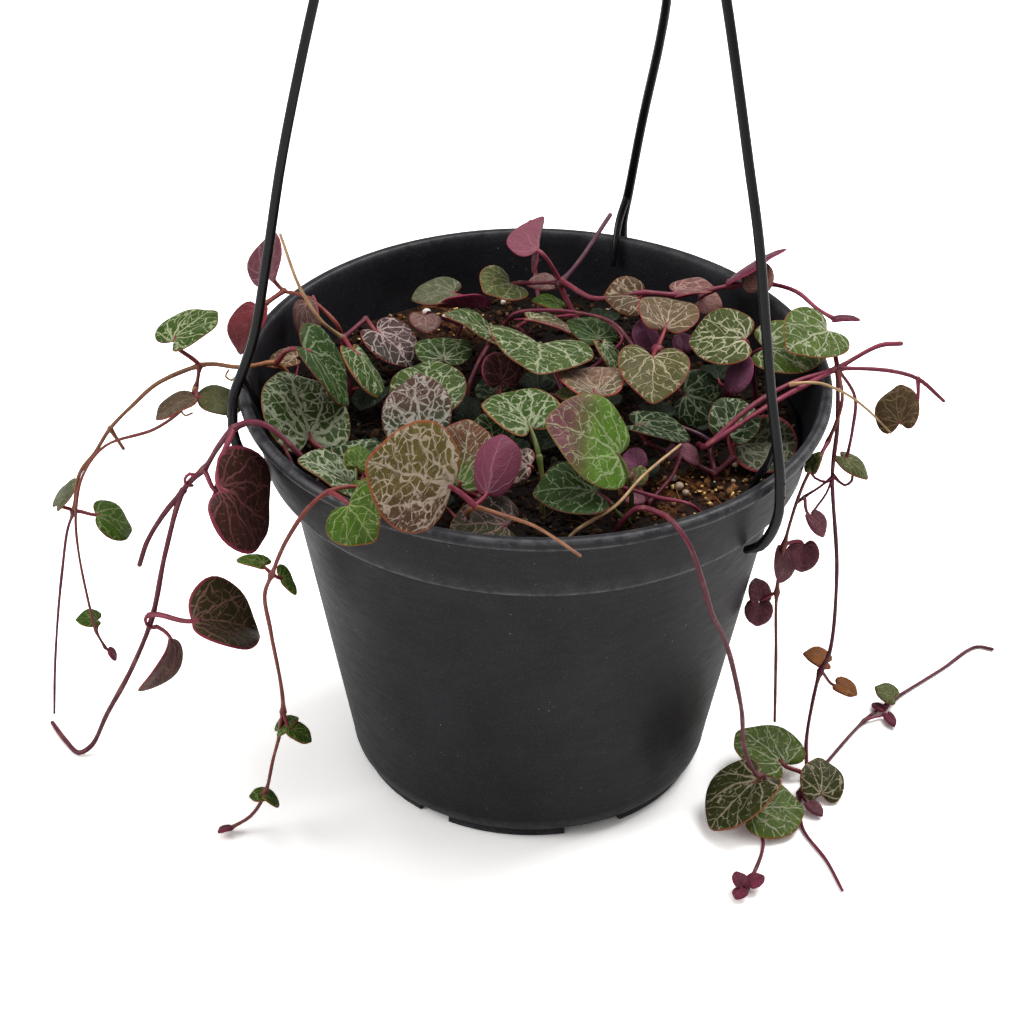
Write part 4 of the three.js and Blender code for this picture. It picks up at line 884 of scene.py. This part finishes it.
def leaf_material(marbling):
    """Face with marbling, dull underside and a coloured margin, from the values at the points."""
    material, b, shader = new_material("leaf_skin")
    (side, edge, _), (share, heavy, rim_wide) = b.parts(b.value("grade")), b.parts(b.value("marks"))
    grain, blade = b.value("grain"), b.value("blade")
    group = b.node("ShaderNodeGroup", node_tree=marbling)
    for key, wire in (("Blade", blade), ("Grain", grain), ("Heavy", heavy)):
        b.feed(group.inputs[key], wire)
    net, vein, speckle = (Wire(b, group.outputs[key]) for key in ("Net", "Vein", "Speckle"))
    soft = b.noise(grain, 0.30, 3, 0.6)
    dots = b.band(b.noise(grain, 5.5, 2, 0.6), 0.44, 0.60, 0.34, 0.0)
    face = b.blend(dots + b.band(soft, 0.3, 0.7, 0.0, 0.30), b.value("tint", "Color"), (0.008, 0.012, 0.004))
    face = b.blend(speckle * (share * 0.12), face, b.value("net", "Color"))
    face = b.blend(net * share, face, b.value("net", "Color"))
    dull = b.band(b.noise(grain, 0.9, 3, 0.6), 0.3, 0.7, 0.0, 0.35)
    under = b.blend(dull, b.value("under", "Color"), (0.10, 0.035, 0.04))
    under = b.blend(vein * 0.25, under, (0.42, 0.22, 0.24))
    colour = b.blend(b.band(side, 0.35, 0.65), under, face)
    inner = 1.0 - rim_wide * b.band(soft, 0.2, 0.8, 1.2, 2.6)
    rim = b.band(edge, inner, inner + rim_wide * 0.8)
    colour = b.blend(rim * 0.85, colour, b.value("rimtint", "Color"))
    rough = net * 0.10 + b.band(b.noise(grain, 1.2, 2, 0.5), 0.3, 0.7, 0.36, 0.48)
    height = net * -0.6 + b.noise(grain, 2.8, 2, 0.6) * 0.35
    dress(b, shader, colour, rough, height - vein * 0.7, 0.00016, 0.8, specular=0.09)
    return material


def stem_material():
    """Streaks along the stem, from its skin's own places, and brown blotches."""
    material, b, shader = new_material("stem_skin")
    skin = b.value("skin")
    streak = b.noise(b.vector("MULTIPLY", skin, (1.0, 1.0, 0.18)), 1.7, 3, 0.6)
    blotch = b.noise(b.vector("MULTIPLY", skin, (1.0, 1.0, 0.6)), 0.5, 3, 0.6)
    colour = b.blend(b.band(streak, 0.35, 0.7, 0.0, 0.55), b.value("tint", "Color"), (0.05, 0.012, 0.014))
    colour = b.blend(b.band(blotch, 0.5, 0.75, 0.0, 0.4), colour, (0.36, 0.16, 0.10))
    rough = b.band(streak, 0.3, 0.7, 0.34, 0.5)
    dress(b, shader, colour, rough, streak + blotch * 0.6, 0.00010, 0.8, specular=0.3)
    return material


def pot_material():
    """Black moulding with fine grain and dust; its edges are lighter and glossier, partly from rubbed wear and
    partly as painted highlight.
    """
    material, b, shader = new_material("moulded_black")
    place, wear = b.place(), b.value("wear", "Fac")
    speck = b.band(b.noise(place, 2600.0, 2, 0.6), 0.56, 0.78)
    cloud = b.noise(place, 60.0, 4, 0.6)
    drawn = b.noise(b.vector("MULTIPLY", place, (1.0, 1.0, 6.0)), 160.0, 3, 0.6)
    colour = b.blend(b.band(cloud, 0.3, 0.7), (0.0066, 0.0064, 0.0084), (0.0128, 0.0124, 0.0150))
    colour = b.blend(speck * 0.6, colour, (0.060, 0.058, 0.068))
    dust = b.band(b.cells(place, 420.0, feature="F1"), 0.09, 0.05) * b.band(cloud, 0.5, 0.62)
    colour = b.blend(dust * 0.6, colour, (0.30, 0.30, 0.30))
    # painted highlight and wear: a lighter grey along the marked edges, for the bright lines on the lip and the
    # collar's lower edge, and rubbing on the foot
    rubbed = wear * b.band(b.noise(place, 300.0, 4, 0.7), 0.35, 0.65, 0.25, 1.0)
    colour = b.blend(rubbed * 0.55, colour, (0.16, 0.16, 0.17))
    rough = b.band(drawn, 0.3, 0.7, 0.40, 0.50) + wear * -0.18
    fine = b.noise(place, 1900.0, 2, 0.6) * 0.7 + cloud * 0.8
    dress(b, shader, colour, rough, fine, 0.00012, specular=0.22)
    return material


def hanger_material():
    """Smooth black plastic, drawn out along the rods."""
    material, b, shader = new_material("hanger_black")
    place = b.place()
    drawn = b.noise(b.vector("MULTIPLY", b.value("skin"), (1.0, 1.0, 0.05)), 1.6, 3, 0.6)
    cloud = b.noise(place, 130.0, 4, 0.6)
    colour = b.blend(b.band(cloud, 0.3, 0.7), (0.0038, 0.0038, 0.0050), (0.0070, 0.0070, 0.0090))
    rough = b.band(drawn, 0.3, 0.7, 0.20, 0.30)
    dress(b, shader, colour, rough, drawn + cloud * 0.4, 0.00006, specular=0.3)
    return material


def soil_material():
    """Coir and bark: rusty clumps where it is open, and darkened to near black under the leaves as painted shade."""
    material, b, shader = new_material("coir_soil")
    place, tint = b.place(), b.value("tint", "Color")
    fine, clump = b.noise(place, 900.0, 4, 0.7), b.noise(place, 220.0, 4, 0.65)
    bare = b.value("bare", "Fac")
    colour = b.blend(b.band(fine, 0.35, 0.7, 0.0, 0.75), tint, (0.011, 0.006, 0.004))
    colour = b.blend(bare * b.band(clump, 0.45, 0.65, 0.0, 0.5), colour, (0.20, 0.075, 0.022))
    # painted shade: away from the open patches the soil goes to near black, for the shade under the leaves
    colour = b.blend((1.0 - bare) * 0.80, colour, (0.0035, 0.0025, 0.002))
    rough = b.band(fine, 0.3, 0.7, 0.78, 0.95)
    dress(b, shader, colour, rough, fine + clump, 0.0005, 0.7, specular=0.12)
    return material


def flake_material():
    """Layered gold mica."""
    material, b, shader = new_material("mica_flakes")
    layer = b.noise(b.vector("MULTIPLY", b.place(), (1.0, 1.0, 5.0)), 1500.0, 3, 0.6)
    colour = b.blend(b.band(layer, 0.3, 0.7), (0.34, 0.17, 0.045), (0.72, 0.50, 0.20))
    rough, metal = b.band(layer, 0.3, 0.7, 0.22, 0.4), b.band(layer, 0.3, 0.7, 0.35, 0.7)
    dress(b, shader, colour, rough, layer, 0.0001, 0.6, metallic=metal)
    return material


def bead_material():
    """Pitted beads of feed."""
    material, b, shader = new_material("slow_feed_beads")
    pits = b.noise(b.place(), 1400.0, 3, 0.6)
    colour = b.blend(b.band(pits, 0.35, 0.7, 0.0, 0.5), b.value("tint", "Color"), (0.30, 0.24, 0.17))
    dress(b, shader, colour, b.band(pits, 0.3, 0.7, 0.4, 0.6), pits, 0.0002)
    return material


# ---- pot ----
# Radius, height, and edge wear with painted highlight, of the pot's wall, from the axis under the floor, over the
# foot ring, up the outside, over the lip and down the inside. Corners are rounded by close pairs of points.
POT_PROFILE = [
    (0, 2.5, 0), (20, 2.5, 0), (38.6, 2.5, 0), (39, 2.2, 0), (39, 0.25, 0), (39.25, 0, 0.5), (41.3, 0, 0.5),
    (41.6, 0.3, 0.5), (41.6, 2.3, 0), (41.8, 2.5, 0), (42.4, 2.75, 0), (43.0, 3.2, 0.1), (43.6, 4.1, 0.3),
    (43.95, 5.2, 0.3), (44.15, 6.7, 0), (46.2, 17.5, 0), (49.2, 33, 0), (52.2, 48.5, 0), (55.2, 64, 0),
    (58.2, 79.4, 0), (59.65, 87.0, 0), (59.9, 87.6, 0), (60.3, 87.72, 0), (63.9, 87.7, 0.1), (64.28, 87.8, 0.9),
    (64.45, 88.15, 1.0), (64.5, 88.7, 0.3), (65.3, 92.5, 0), (66.2, 97, 0), (67.1, 101.4, 0), (67.5, 103.3, 0),
    (67.75, 103.62, 0), (69.55, 103.75, 0.2), (69.88, 103.85, 1.0), (70.0, 104.15, 1.0), (70.0, 104.6, 0.2),
    (69.97, 105.2, 0.2), (69.85, 105.65, 0.7), (69.5, 106.05, 0.9), (69.1, 106.25, 0.5), (68.6, 106.3, 0.15),
    (68.3, 106.2, 0.1), (68.0, 106.27, 0.3), (67.6, 106.1, 0.5), (67.3, 105.6, 0.3), (67.0, 104.9, 0.1),
    (66.3, 102.6, 0), (64.8, 95.5, 0), (63.35, 89.7, 0), (63.1, 89.25, 0.2), (62.8, 89.1, 0.1), (58.9, 89.1, 0.1),
    (58.5, 88.8, 0.1), (55, 70, 0), (49, 38, 0), (42.9, 5.6, 0), (42.5, 4.6, 0), (41.4, 3.9, 0), (20, 3.9, 0),
    (0, 3.9, 0),
]
FOOT_GAPS = [(12.4, 32.8), (-39.3, -27.6)]      # degrees from the front to the right, each three times
DRAIN_R, DRAIN_TURN = 3.0, 26                   # radius of the four drain holes, and of their circle


def cutter_object(name, patches):
    """A plain helper mesh that belongs to nothing; it is removed after use."""
    start, faces = 0, []
    for p in patches:
        faces += [tuple(int(i) + start for i in f) for block in p["faces"] for f in block]
        start += len(p["points"])
    mesh = bpy.data.meshes.new(name)
    mesh.from_pydata((np.concatenate([p["points"] for p in patches]) * MM).tolist(), [], faces)
    mesh.update()
    return new_object(name, mesh)


def pot_piece(material):
    """A turned profile: each point goes round the axis, and where the foot ring has a gap its lower
    edge is raised to the floor's. Four drain holes are cut through the floor."""
    gaps = np.array([np.array(pair) + turn for pair in FOOT_GAPS for turn in (0, 120, 240)]) % 360
    beside = np.concatenate([gaps.ravel() - 0.03, gaps.ravel() + 0.03])
    turns = np.unique(np.round(np.concatenate([np.arange(0, 360, 2.0), beside]) % 360, 4))
    gap = ((turns > gaps[:, :1]) & (turns < gaps[:, 1:])).any(0)
    a = np.radians(turns)
    r, z, wear = np.array(POT_PROFILE[1:-1], float).T
    under, inside = POT_PROFILE[0][1], POT_PROFILE[-1][1]
    rows, columns = len(r), len(turns)
    height = np.tile(z[:, None], (1, columns))
    foot = (r > 38.5) & (r < 41.7) & (z < under)
    height[np.ix_(foot, gap)] = under
    points = np.stack([r[:, None] * np.sin(a), -r[:, None] * np.cos(a), height], -1).reshape(-1, 3)
    points = np.vstack([points, [[0, 0, under], [0, 0, inside]]])
    patch = dict(points=points, faces=closed_faces(rows, columns),
                 values={"wear": np.append(np.repeat(wear, columns), [0, 0])})
    pot = make_piece("nursery_pot", [patch], [material], "pot")
    quarters = [math.pi / 4 + i * math.pi / 2 for i in range(4)]
    spots = [(DRAIN_TURN * math.cos(t), DRAIN_TURN * math.sin(t)) for t in quarters]
    pins = [tube([(x, y, 0.5), (x, y, 3.2), (x, y, 6)], DRAIN_R, 24) for x, y in spots]
    cut = cutter_object("drain_cutter", pins)
    modifier = pot.modifiers.new("drains", "BOOLEAN")
    modifier.operation, modifier.object, modifier.solver = "DIFFERENCE", cut, "EXACT"
    bpy.context.view_layer.objects.active = pot
    bpy.ops.object.select_all(action="DESELECT")
    pot.select_set(True)
    bpy.ops.object.modifier_apply(modifier=modifier.name)
    bpy.data.objects.remove(cut)


# ---- soil ----
SOIL_Z, SOIL_R = 91.6, 62.6


def soil_height(x, y):
    """Low waves, with a dip at the back wall where the soil has settled."""
    waves = 0.5 * np.sin(x / 9 + 1) * np.cos(y / 7) + 0.5 * np.sin(x / 5 - y / 6 + 2)
    return SOIL_Z + waves - 1.2 * np.exp(-(x + 14) ** 2 / 300 - (y - 60) ** 2 / 60)


def bare_lit_soil(points):
    """Where the soil is open and lit, from 0 to 1: two round patches, at the back left and at the front right, that
    fade out as a bell curve; elsewhere it lies under the leaves, where its colour is darkened as painted shade."""
    x, y = points[:, 0], points[:, 1]
    back = np.exp(-((x + 28) / 15) ** 2 - ((y - 47) / 11) ** 2)
    front = np.exp(-((x - 38) / 14) ** 2 - ((y + 31) / 12) ** 2)
    return np.clip(1.25 * (back + front), 0, 1)


def rough_noise(x, y, seed, size):
    """Sum of eight slanted sine waves of about the given length, each with a seeded direction."""
    rng = np.random.default_rng(seed)
    total = np.zeros_like(x)
    for _ in range(8):
        a, w, shift = rng.uniform(0, TAU), TAU / (size * rng.uniform(0.7, 1.5)), rng.uniform(0, TAU)
        total += np.sin(w * (x * np.cos(a) + y * np.sin(a)) + shift)
    return total / 8


def chip_patches(count, seed, sizes, tints, stretch, lift=0.0, reach=61.5, flat=1.0):
    """Many small chips as one patch: an eight-cornered crumb, each copy turned, stretched and
    placed at random on the soil, its corners pushed in and out."""
    rng = np.random.default_rng(seed)
    corner = np.array([(x, y, z) for z in (-1, 1) for y in (-1, 1) for x in (-1, 1)], float)
    corner *= np.where(corner[:, 2:3] > 0, 0.62, 1.0) ** np.array([1, 1, 0])
    quads = np.array([(0, 2, 3, 1), (4, 5, 7, 6), (0, 1, 5, 4), (2, 6, 7, 3), (0, 4, 6, 2), (1, 3, 7, 5)])
    radius = reach * np.sqrt(rng.random(count))
    turn = rng.uniform(0, TAU, count)
    x, y = radius * np.cos(turn), radius * np.sin(turn)
    size = rng.uniform(*sizes, count)
    lengths = [rng.uniform(1, stretch, count), np.ones(count), rng.uniform(0.5, 0.9, count) * flat]
    scale = size[:, None] * np.stack(lengths, -1)
    shape = corner[None] * scale[:, None] * rng.uniform(0.68, 1.12, (count, 8, 3))
    a, t = rng.uniform(0, TAU, count), rng.normal(0, 0.45, count)
    ca, sa, ct, st = np.cos(a)[:, None], np.sin(a)[:, None], np.cos(t)[:, None], np.sin(t)[:, None]
    px, py, pz = shape[..., 0] * ct - shape[..., 2] * st, shape[..., 1], shape[..., 0] * st + shape[..., 2] * ct
    shape = np.stack([px * ca - py * sa, px * sa + py * ca, pz], -1)
    z = soil_height(x, y) + 0.55 * rough_noise(x, y, 5, 6) + lift + rng.uniform(-0.3, 0.5, count)
    points = (shape + np.stack([x, y, z], -1)[:, None]).reshape(-1, 3)
    faces = (quads[None] + 8 * np.arange(count)[:, None, None]).reshape(-1, 4)
    tones = linear(tints)[rng.integers(0, len(tints), count)] * rng.uniform(0.6, 1.25, (count, 1))
    return dict(points=points, faces=[faces], values={"tint": np.repeat(tones, 8, 0)})


def fibre_patches(count, seed):
    """Coir fibres: thin tubes that lie on the soil in shallow arcs."""
    rng = np.random.default_rng(seed)
    made = []
    for _ in range(count):
        r, a = 58 * math.sqrt(rng.random()), rng.uniform(0, TAU)
        heading, bend, length = rng.uniform(0, TAU), rng.normal(0, 0.5), rng.uniform(3, 11)
        t = np.linspace(0, 1, 7)
        turn = heading + bend * (t - 0.5) * 2
        x = r * math.cos(a) + np.cumsum(np.cos(turn)) * length / 7
        y = r * math.sin(a) + np.cumsum(np.sin(turn)) * length / 7
        inside = np.minimum(1, 60 / np.maximum(np.hypot(x, y), 1))
        x, y = x * inside, y * inside
        z = soil_height(x, y) + 0.9 + 0.7 * np.sin(math.pi * t) * rng.uniform(0, 1.6) + rng.uniform(-0.3, 0.3)
        tone = linear([(150, 84, 40), (112, 62, 34), (176, 112, 58)][rng.integers(0, 3)])
        patch = tube(np.stack([x, y, z], -1), rng.uniform(0.09, 0.2), 5, tone, kind=0)
        patch["values"].pop("skin")
        made.append(patch)
    return made


def ball_patch(at, radius, tone, kind, seed):
    """A slightly lumpy ball from rings of latitude, closed at both poles."""
    rng = np.random.default_rng(seed)
    lat, lon = np.linspace(0, math.pi, 13)[1:-1, None], np.arange(20) * TAU / 20
    lump = (1 + 0.05 * np.sin(3 * lon[None] + rng.uniform(0, 6)) * np.sin(lat) ** 2
            + 0.03 * np.cos(4 * lat + rng.uniform(0, 6)))
    ring = np.stack([np.sin(lat) * np.cos(lon), np.sin(lat) * np.sin(lon), np.cos(lat) + 0 * lon], -1)
    ball = np.vstack([(ring * lump[..., None]).reshape(-1, 3), [[0, 0, 1], [0, 0, -1]]])
    return dict(points=ball * radius + np.asarray(at, float), faces=closed_faces(len(lat), len(lon), True),
                kind=kind, values={"tint": np.tile(linear(tone), (len(ball), 1))})


# Beads: x, y, radius and tint.
BEADS = [
    (-27, 49, 1.15, (236, 232, 224)), (-22.5, 47.5, 0.8, (224, 212, 196)), (33.5, -28, 1.05, (190, 164, 138)),
    (34.9, -30.5, 0.85, (168, 142, 120)), (42, -22, 1.1, (216, 196, 170)), (32.5, -24, 0.9, (170, 150, 150)),
    (-38, 42, 0.8, (214, 190, 160)), (18, 51, 0.9, (206, 180, 150)), (5, 55, 0.8, (220, 206, 186)),
    (47, -18, 0.9, (206, 180, 150)), (28, -44, 0.9, (200, 176, 150)), (-8, 57, 0.7, (226, 216, 200)),
]
# Crumbs and chips: how many, seed, smallest and largest size, tints, stretch, lift.
CHIPS = [
    (5200, 21, (0.22, 0.6), [(96, 58, 32), (60, 36, 22), (132, 84, 44), (36, 22, 16), (28, 18, 14)], 2.4, 0.0),
    (520, 22, (0.5, 1.0), [(104, 62, 34), (70, 42, 28), (46, 28, 20), (150, 104, 62)], 2.6, 0.2),
    (260, 26, (0.28, 0.6), [(206, 178, 140), (176, 140, 96), (226, 206, 176)], 1.8, 0.5),
]


def soil_piece(materials):
    """The plug of soil: its top is a fine polar grid raised by lumps of three sizes, under it the
    plug's smooth side and floor; on it lie crumbs, chips of coir, fibres, mica and beads."""
    r = np.concatenate([[0.6], np.linspace(1.6, 62.0, 62), [SOIL_R]])[:, None]
    columns = 240
    a = np.arange(columns) * TAU / columns
    x, y = r * np.cos(a), r * np.sin(a)
    coarse, middling, fine = (rough_noise(x, y, seed, size) for seed, size in ((5, 6), (6, 2.4), (8, 1.3)))
    lumps = 0.75 * coarse + 0.5 * np.abs(middling) + 0.25 * fine
    z = soil_height(x, y) + lumps * np.clip((SOIL_R - r) / 3, 0.15, 1)
    low = [(SOIL_R, 89.6), (58.2, 89.5), (58.05, 88.8), (42.4, 5.4), (41.2, 4.25)]
    side = np.stack([np.stack([p * np.cos(a), p * np.sin(a), np.full(columns, q)], -1) for p, q in low])
    points = np.vstack([np.stack([x, y, z], -1), side]).reshape(-1, 3)
    points = np.vstack([points, [[0, 0, z[0].mean()], [0, 0, low[-1][1]]]])
    tone = np.tile(linear((36, 22, 15)), (len(points), 1))
    patches = [dict(points=points, faces=closed_faces(len(r) + len(low), columns, True), values={"tint": tone})]
    patches += [chip_patches(*row) for row in CHIPS] + fibre_patches(170, 23)
    flakes = chip_patches(900, 24, (0.26, 0.62), [(210, 160, 80)], 1.6, 0.7, 60, 0.28)
    flake_points = flakes["points"].reshape(-1, 8, 3)
    # mica shows mostly where the soil is open and lit; few flakes lie in the painted shade under the leaves
    shown = bare_lit_soil(flake_points[:, 0]) > np.random.default_rng(25).uniform(0.1, 1.1, len(flake_points))
    patches.append(dict(points=flake_points[shown].reshape(-1, 3), kind=1,
                        faces=[flakes["faces"][0][:6 * shown.sum()]],
                        values={"tint": flakes["values"]["tint"][:8 * shown.sum()]}))
    for i, (bx, by, radius, tone) in enumerate(BEADS):
        patches.append(ball_patch((bx, by, float(soil_height(bx, by)) + 0.75 + radius * 0.6), radius, tone, 2, i))
    for patch in patches:
        patch["values"]["bare"] = bare_lit_soil(patch["points"])
    make_piece("coir_mix", patches, materials, "soil")


# ---- hanger ----
# Distance from the axis and height; the back arm, which isn't in one plane, has x, y and z.
GRIP = [(71.6, 109), (72, 104), (72, 99), (70.6, 93.5), (67.6, 88), (64, 85.2)]
ARM_TOP = [(4, 351.2), (6, 346), (13, 332), (23, 306), (33, 278), (42, 248)]
ARM_RIGHT = ARM_TOP + [(50, 219), (54, 202), (58, 184), (62, 166), (65, 147), (68, 128), (70.2, 117)]
ARM_LEFT = ARM_TOP + [(48, 219), (51, 207), (55, 189), (59, 169), (63, 144), (66.5, 124), (69.8, 114)]
LEG = [(68.4, 111), (65.7, 106), (63.9, 101)]
PINS = [(72.75, 107.2), (72.95, 103.6)]
ARM_BACK = [(1.2, 3.8, 351.2), (2, 6, 346), (7, 11, 330), (14, 20, 300), (22, 34, 255), (28, 46, 215), (30, 56, 180),
            (29, 60, 165), (25.5, 64, 140), (22.8, 67, 118)]
HUB = np.array([(4.6, 352.0), (6.1, 352.1), (6.5, 352.6), (6.5, 355.6), (6.2, 356.4), (5.0, 357.0), (3.4, 357.3),
                (2.7, 358.2), (2.4, 360), (2.4, 363.2), (2.1, 364.0), (1.2, 364.3)])
ROD_R, HOOK_R, HOOK_Z, HOOK_BEND = 1.26, 1.6, 385, 12    # radii of the rods, height and radius of the bend


def around(pairs, angle):
    """Pairs of distance and height as points at an angle round the axis."""
    a = math.radians(angle)
    return [(r * math.cos(a), r * math.sin(a), z) for r, z in pairs]


def ribbed(angle):
    """An arm's section: a squarish circle, of the power two and a half, with a shallow groove."""
    square = (np.abs(np.cos(angle)) ** 2.5 + np.abs(np.sin(angle)) ** 2.5) ** -0.4
    groove = 0.12 * np.exp(-(((angle - math.pi / 2 + math.pi) % TAU - math.pi) / 0.35) ** 2)
    return 0.95 * square - groove


def arm_piece(name, upper, angle, material, node):
    """An arm: one rod from the hub to the tip that grips under the collar, and a leg that branches
    off above the lip and goes inside it, with two small pins where they part."""
    main = turned_path(upper + around(GRIP, angle), 2.5)
    run = lengths_along(main)
    size = ROD_R * (1 + 0.08 * np.exp(-((run - run[-1] + 28) / 9) ** 2))
    size[-3:] *= [0.97, 0.9, 0.8]
    leg = turned_path([upper[-1]] + around(LEG, angle), 1.2)
    patches = [tube(main, size, 24, section=ribbed, kind=0), tube(leg, np.linspace(1.0, 0.8, len(leg)), 14, kind=0)]
    patches += [ball_patch(at, 0.55, (128, 128, 128), 0, int(at[2])) for at in around(PINS, angle)]
    make_piece(name, patches, [material], node)


def hook_piece(material):
    """The hub that the arms meet, turned from a profile of rounded steps, and the open hook."""
    a = np.arange(48) * TAU / 48
    r, z = HUB[:, :1], HUB[:, 1:]
    points = np.stack([r * np.cos(a), r * np.sin(a), z + 0 * a], -1).reshape(-1, 3)
    points = np.vstack([points, [[0, 0, z[0, 0]], [0, 0, z[-1, 0]]]])
    hub = dict(points=points, faces=closed_faces(len(HUB), len(a)))
    turns = np.radians(np.arange(-60, 211, 30))
    bend = [(HOOK_BEND * math.cos(t), 0, HOOK_Z + HOOK_BEND * math.sin(t)) for t in turns]
    path = turned_path([(0, 0, 358), (0, 0, 367), (2, 0, 371.5)] + bend, 1.2)
    size = np.full(len(path), HOOK_R)
    size[-4:] *= [0.99, 0.96, 0.9, 0.8]
    make_piece("hanging_hook", [hub, tube(path, size, 20, kind=0)], [material], "hanger_hook")


# ---- the object ----
leaf_skin, stem_skin = leaf_material(marbling_group()), stem_material()
for plant, lists in PLANTS.items():
    plant_piece(plant, *lists, [leaf_skin, stem_skin])
pot_piece(pot_material())
soil_piece([soil_material(), flake_material(), bead_material()])
black = hanger_material()
arm_piece("arm_right", around(ARM_RIGHT, -40), -40, black, "hanger_arm_right")
arm_piece("arm_left", around(ARM_LEFT, 193), 193, black, "hanger_arm_left")
arm_piece("arm_back", ARM_BACK, 72.4, black, "hanger_arm_back")
hook_piece(black)


# ---- floor, light and camera ----
DOWN, LEAN = math.radians(34.22), math.radians(0.88)     # how far the camera looks down and leans over
AIM, AWAY = np.array([-4.988, 0, 66.712]), 846.224       # the middle of its view, and how far it is from it
SENSOR, LENS = 36.0, 3500.0 / 1024                       # its sensor's width in mm, its lens in such widths


def floor_piece():
    """A pale floor, four metres across; the camera sees it brighter than it lights the rest."""
    mesh = bpy.data.meshes.new("floor")
    mesh.from_pydata([(-2, -2, 0), (2, -2, 0), (2, 2, 0), (-2, 2, 0)], [], [(0, 1, 2, 3)])
    floor = new_object("floor", mesh)
    material, b, shader = new_material("floor_paper")
    seen = Wire(b, b.node("ShaderNodeLightPath").outputs["Is Camera Ray"])
    paper = b.node("ShaderNodeBsdfDiffuse")
    b.feed(paper.inputs["Color"], b.blend(seen, (0.80, 0.795, 0.785), (1.62, 1.61, 1.59)))
    out = next(n for n in material.node_tree.nodes if n.type == "OUTPUT_MATERIAL")
    b.feed(out.inputs["Surface"], Wire(b, paper.outputs[0]))
    material.node_tree.nodes.remove(shader)
    mesh.materials.append(material)


def soft_light(name, at, to, size, power):
    """A lamp of the given width and height in metres and power in watts, turned to a point."""
    lamp = bpy.data.lights.new(name, "AREA")
    lamp.shape, lamp.size, lamp.size_y, lamp.energy = "RECTANGLE", *size, power
    made = new_object(name, lamp)
    made.location = at
    made.rotation_euler = (Vector(to) - Vector(at)).to_track_quat("-Z", "Y").to_euler()


floor_piece()
world = bpy.data.worlds.new("studio")
bpy.context.scene.world = world
world.use_nodes = True
sky = world.node_tree.nodes["Background"].inputs
sky[0].default_value, sky[1].default_value = (1.0, 0.995, 0.985, 1), 0.42
soft_light("key", (0.62, 0.42, 1.15), (0, 0, 0.08), (0.75, 0.75), 12.5)
soft_light("left_fill", (-1.0, -0.35, 0.7), (0, 0, 0.08), (0.6, 0.9), 8)
soft_light("top", (0.0, 0.1, 1.5), (0, 0, 0.05), (1.0, 1.0), 9)

camera = bpy.data.cameras.new("camera")
camera.sensor_width, camera.lens = SENSOR, LENS * SENSOR
camera.clip_start, camera.clip_end = 0.05, 20
view = new_object("camera", camera)
bpy.context.scene.camera = view
forward = np.array([0, math.cos(DOWN), -math.sin(DOWN)])
level, upright = np.array([1.0, 0, 0]), np.cross([1.0, 0, 0], forward)
turned = np.eye(4)
turned[:3, 0] = level * math.cos(LEAN) + upright * math.sin(LEAN)
turned[:3, 1] = -level * math.sin(LEAN) + upright * math.cos(LEAN)
turned[:3, 2], turned[:3, 3] = -forward, (AIM - AWAY * forward) * MM
view.matrix_world = Matrix(turned.tolist())
bpy.context.scene.view_settings.view_transform = "Standard"
bpy.context.scene.view_settings.look = "None"
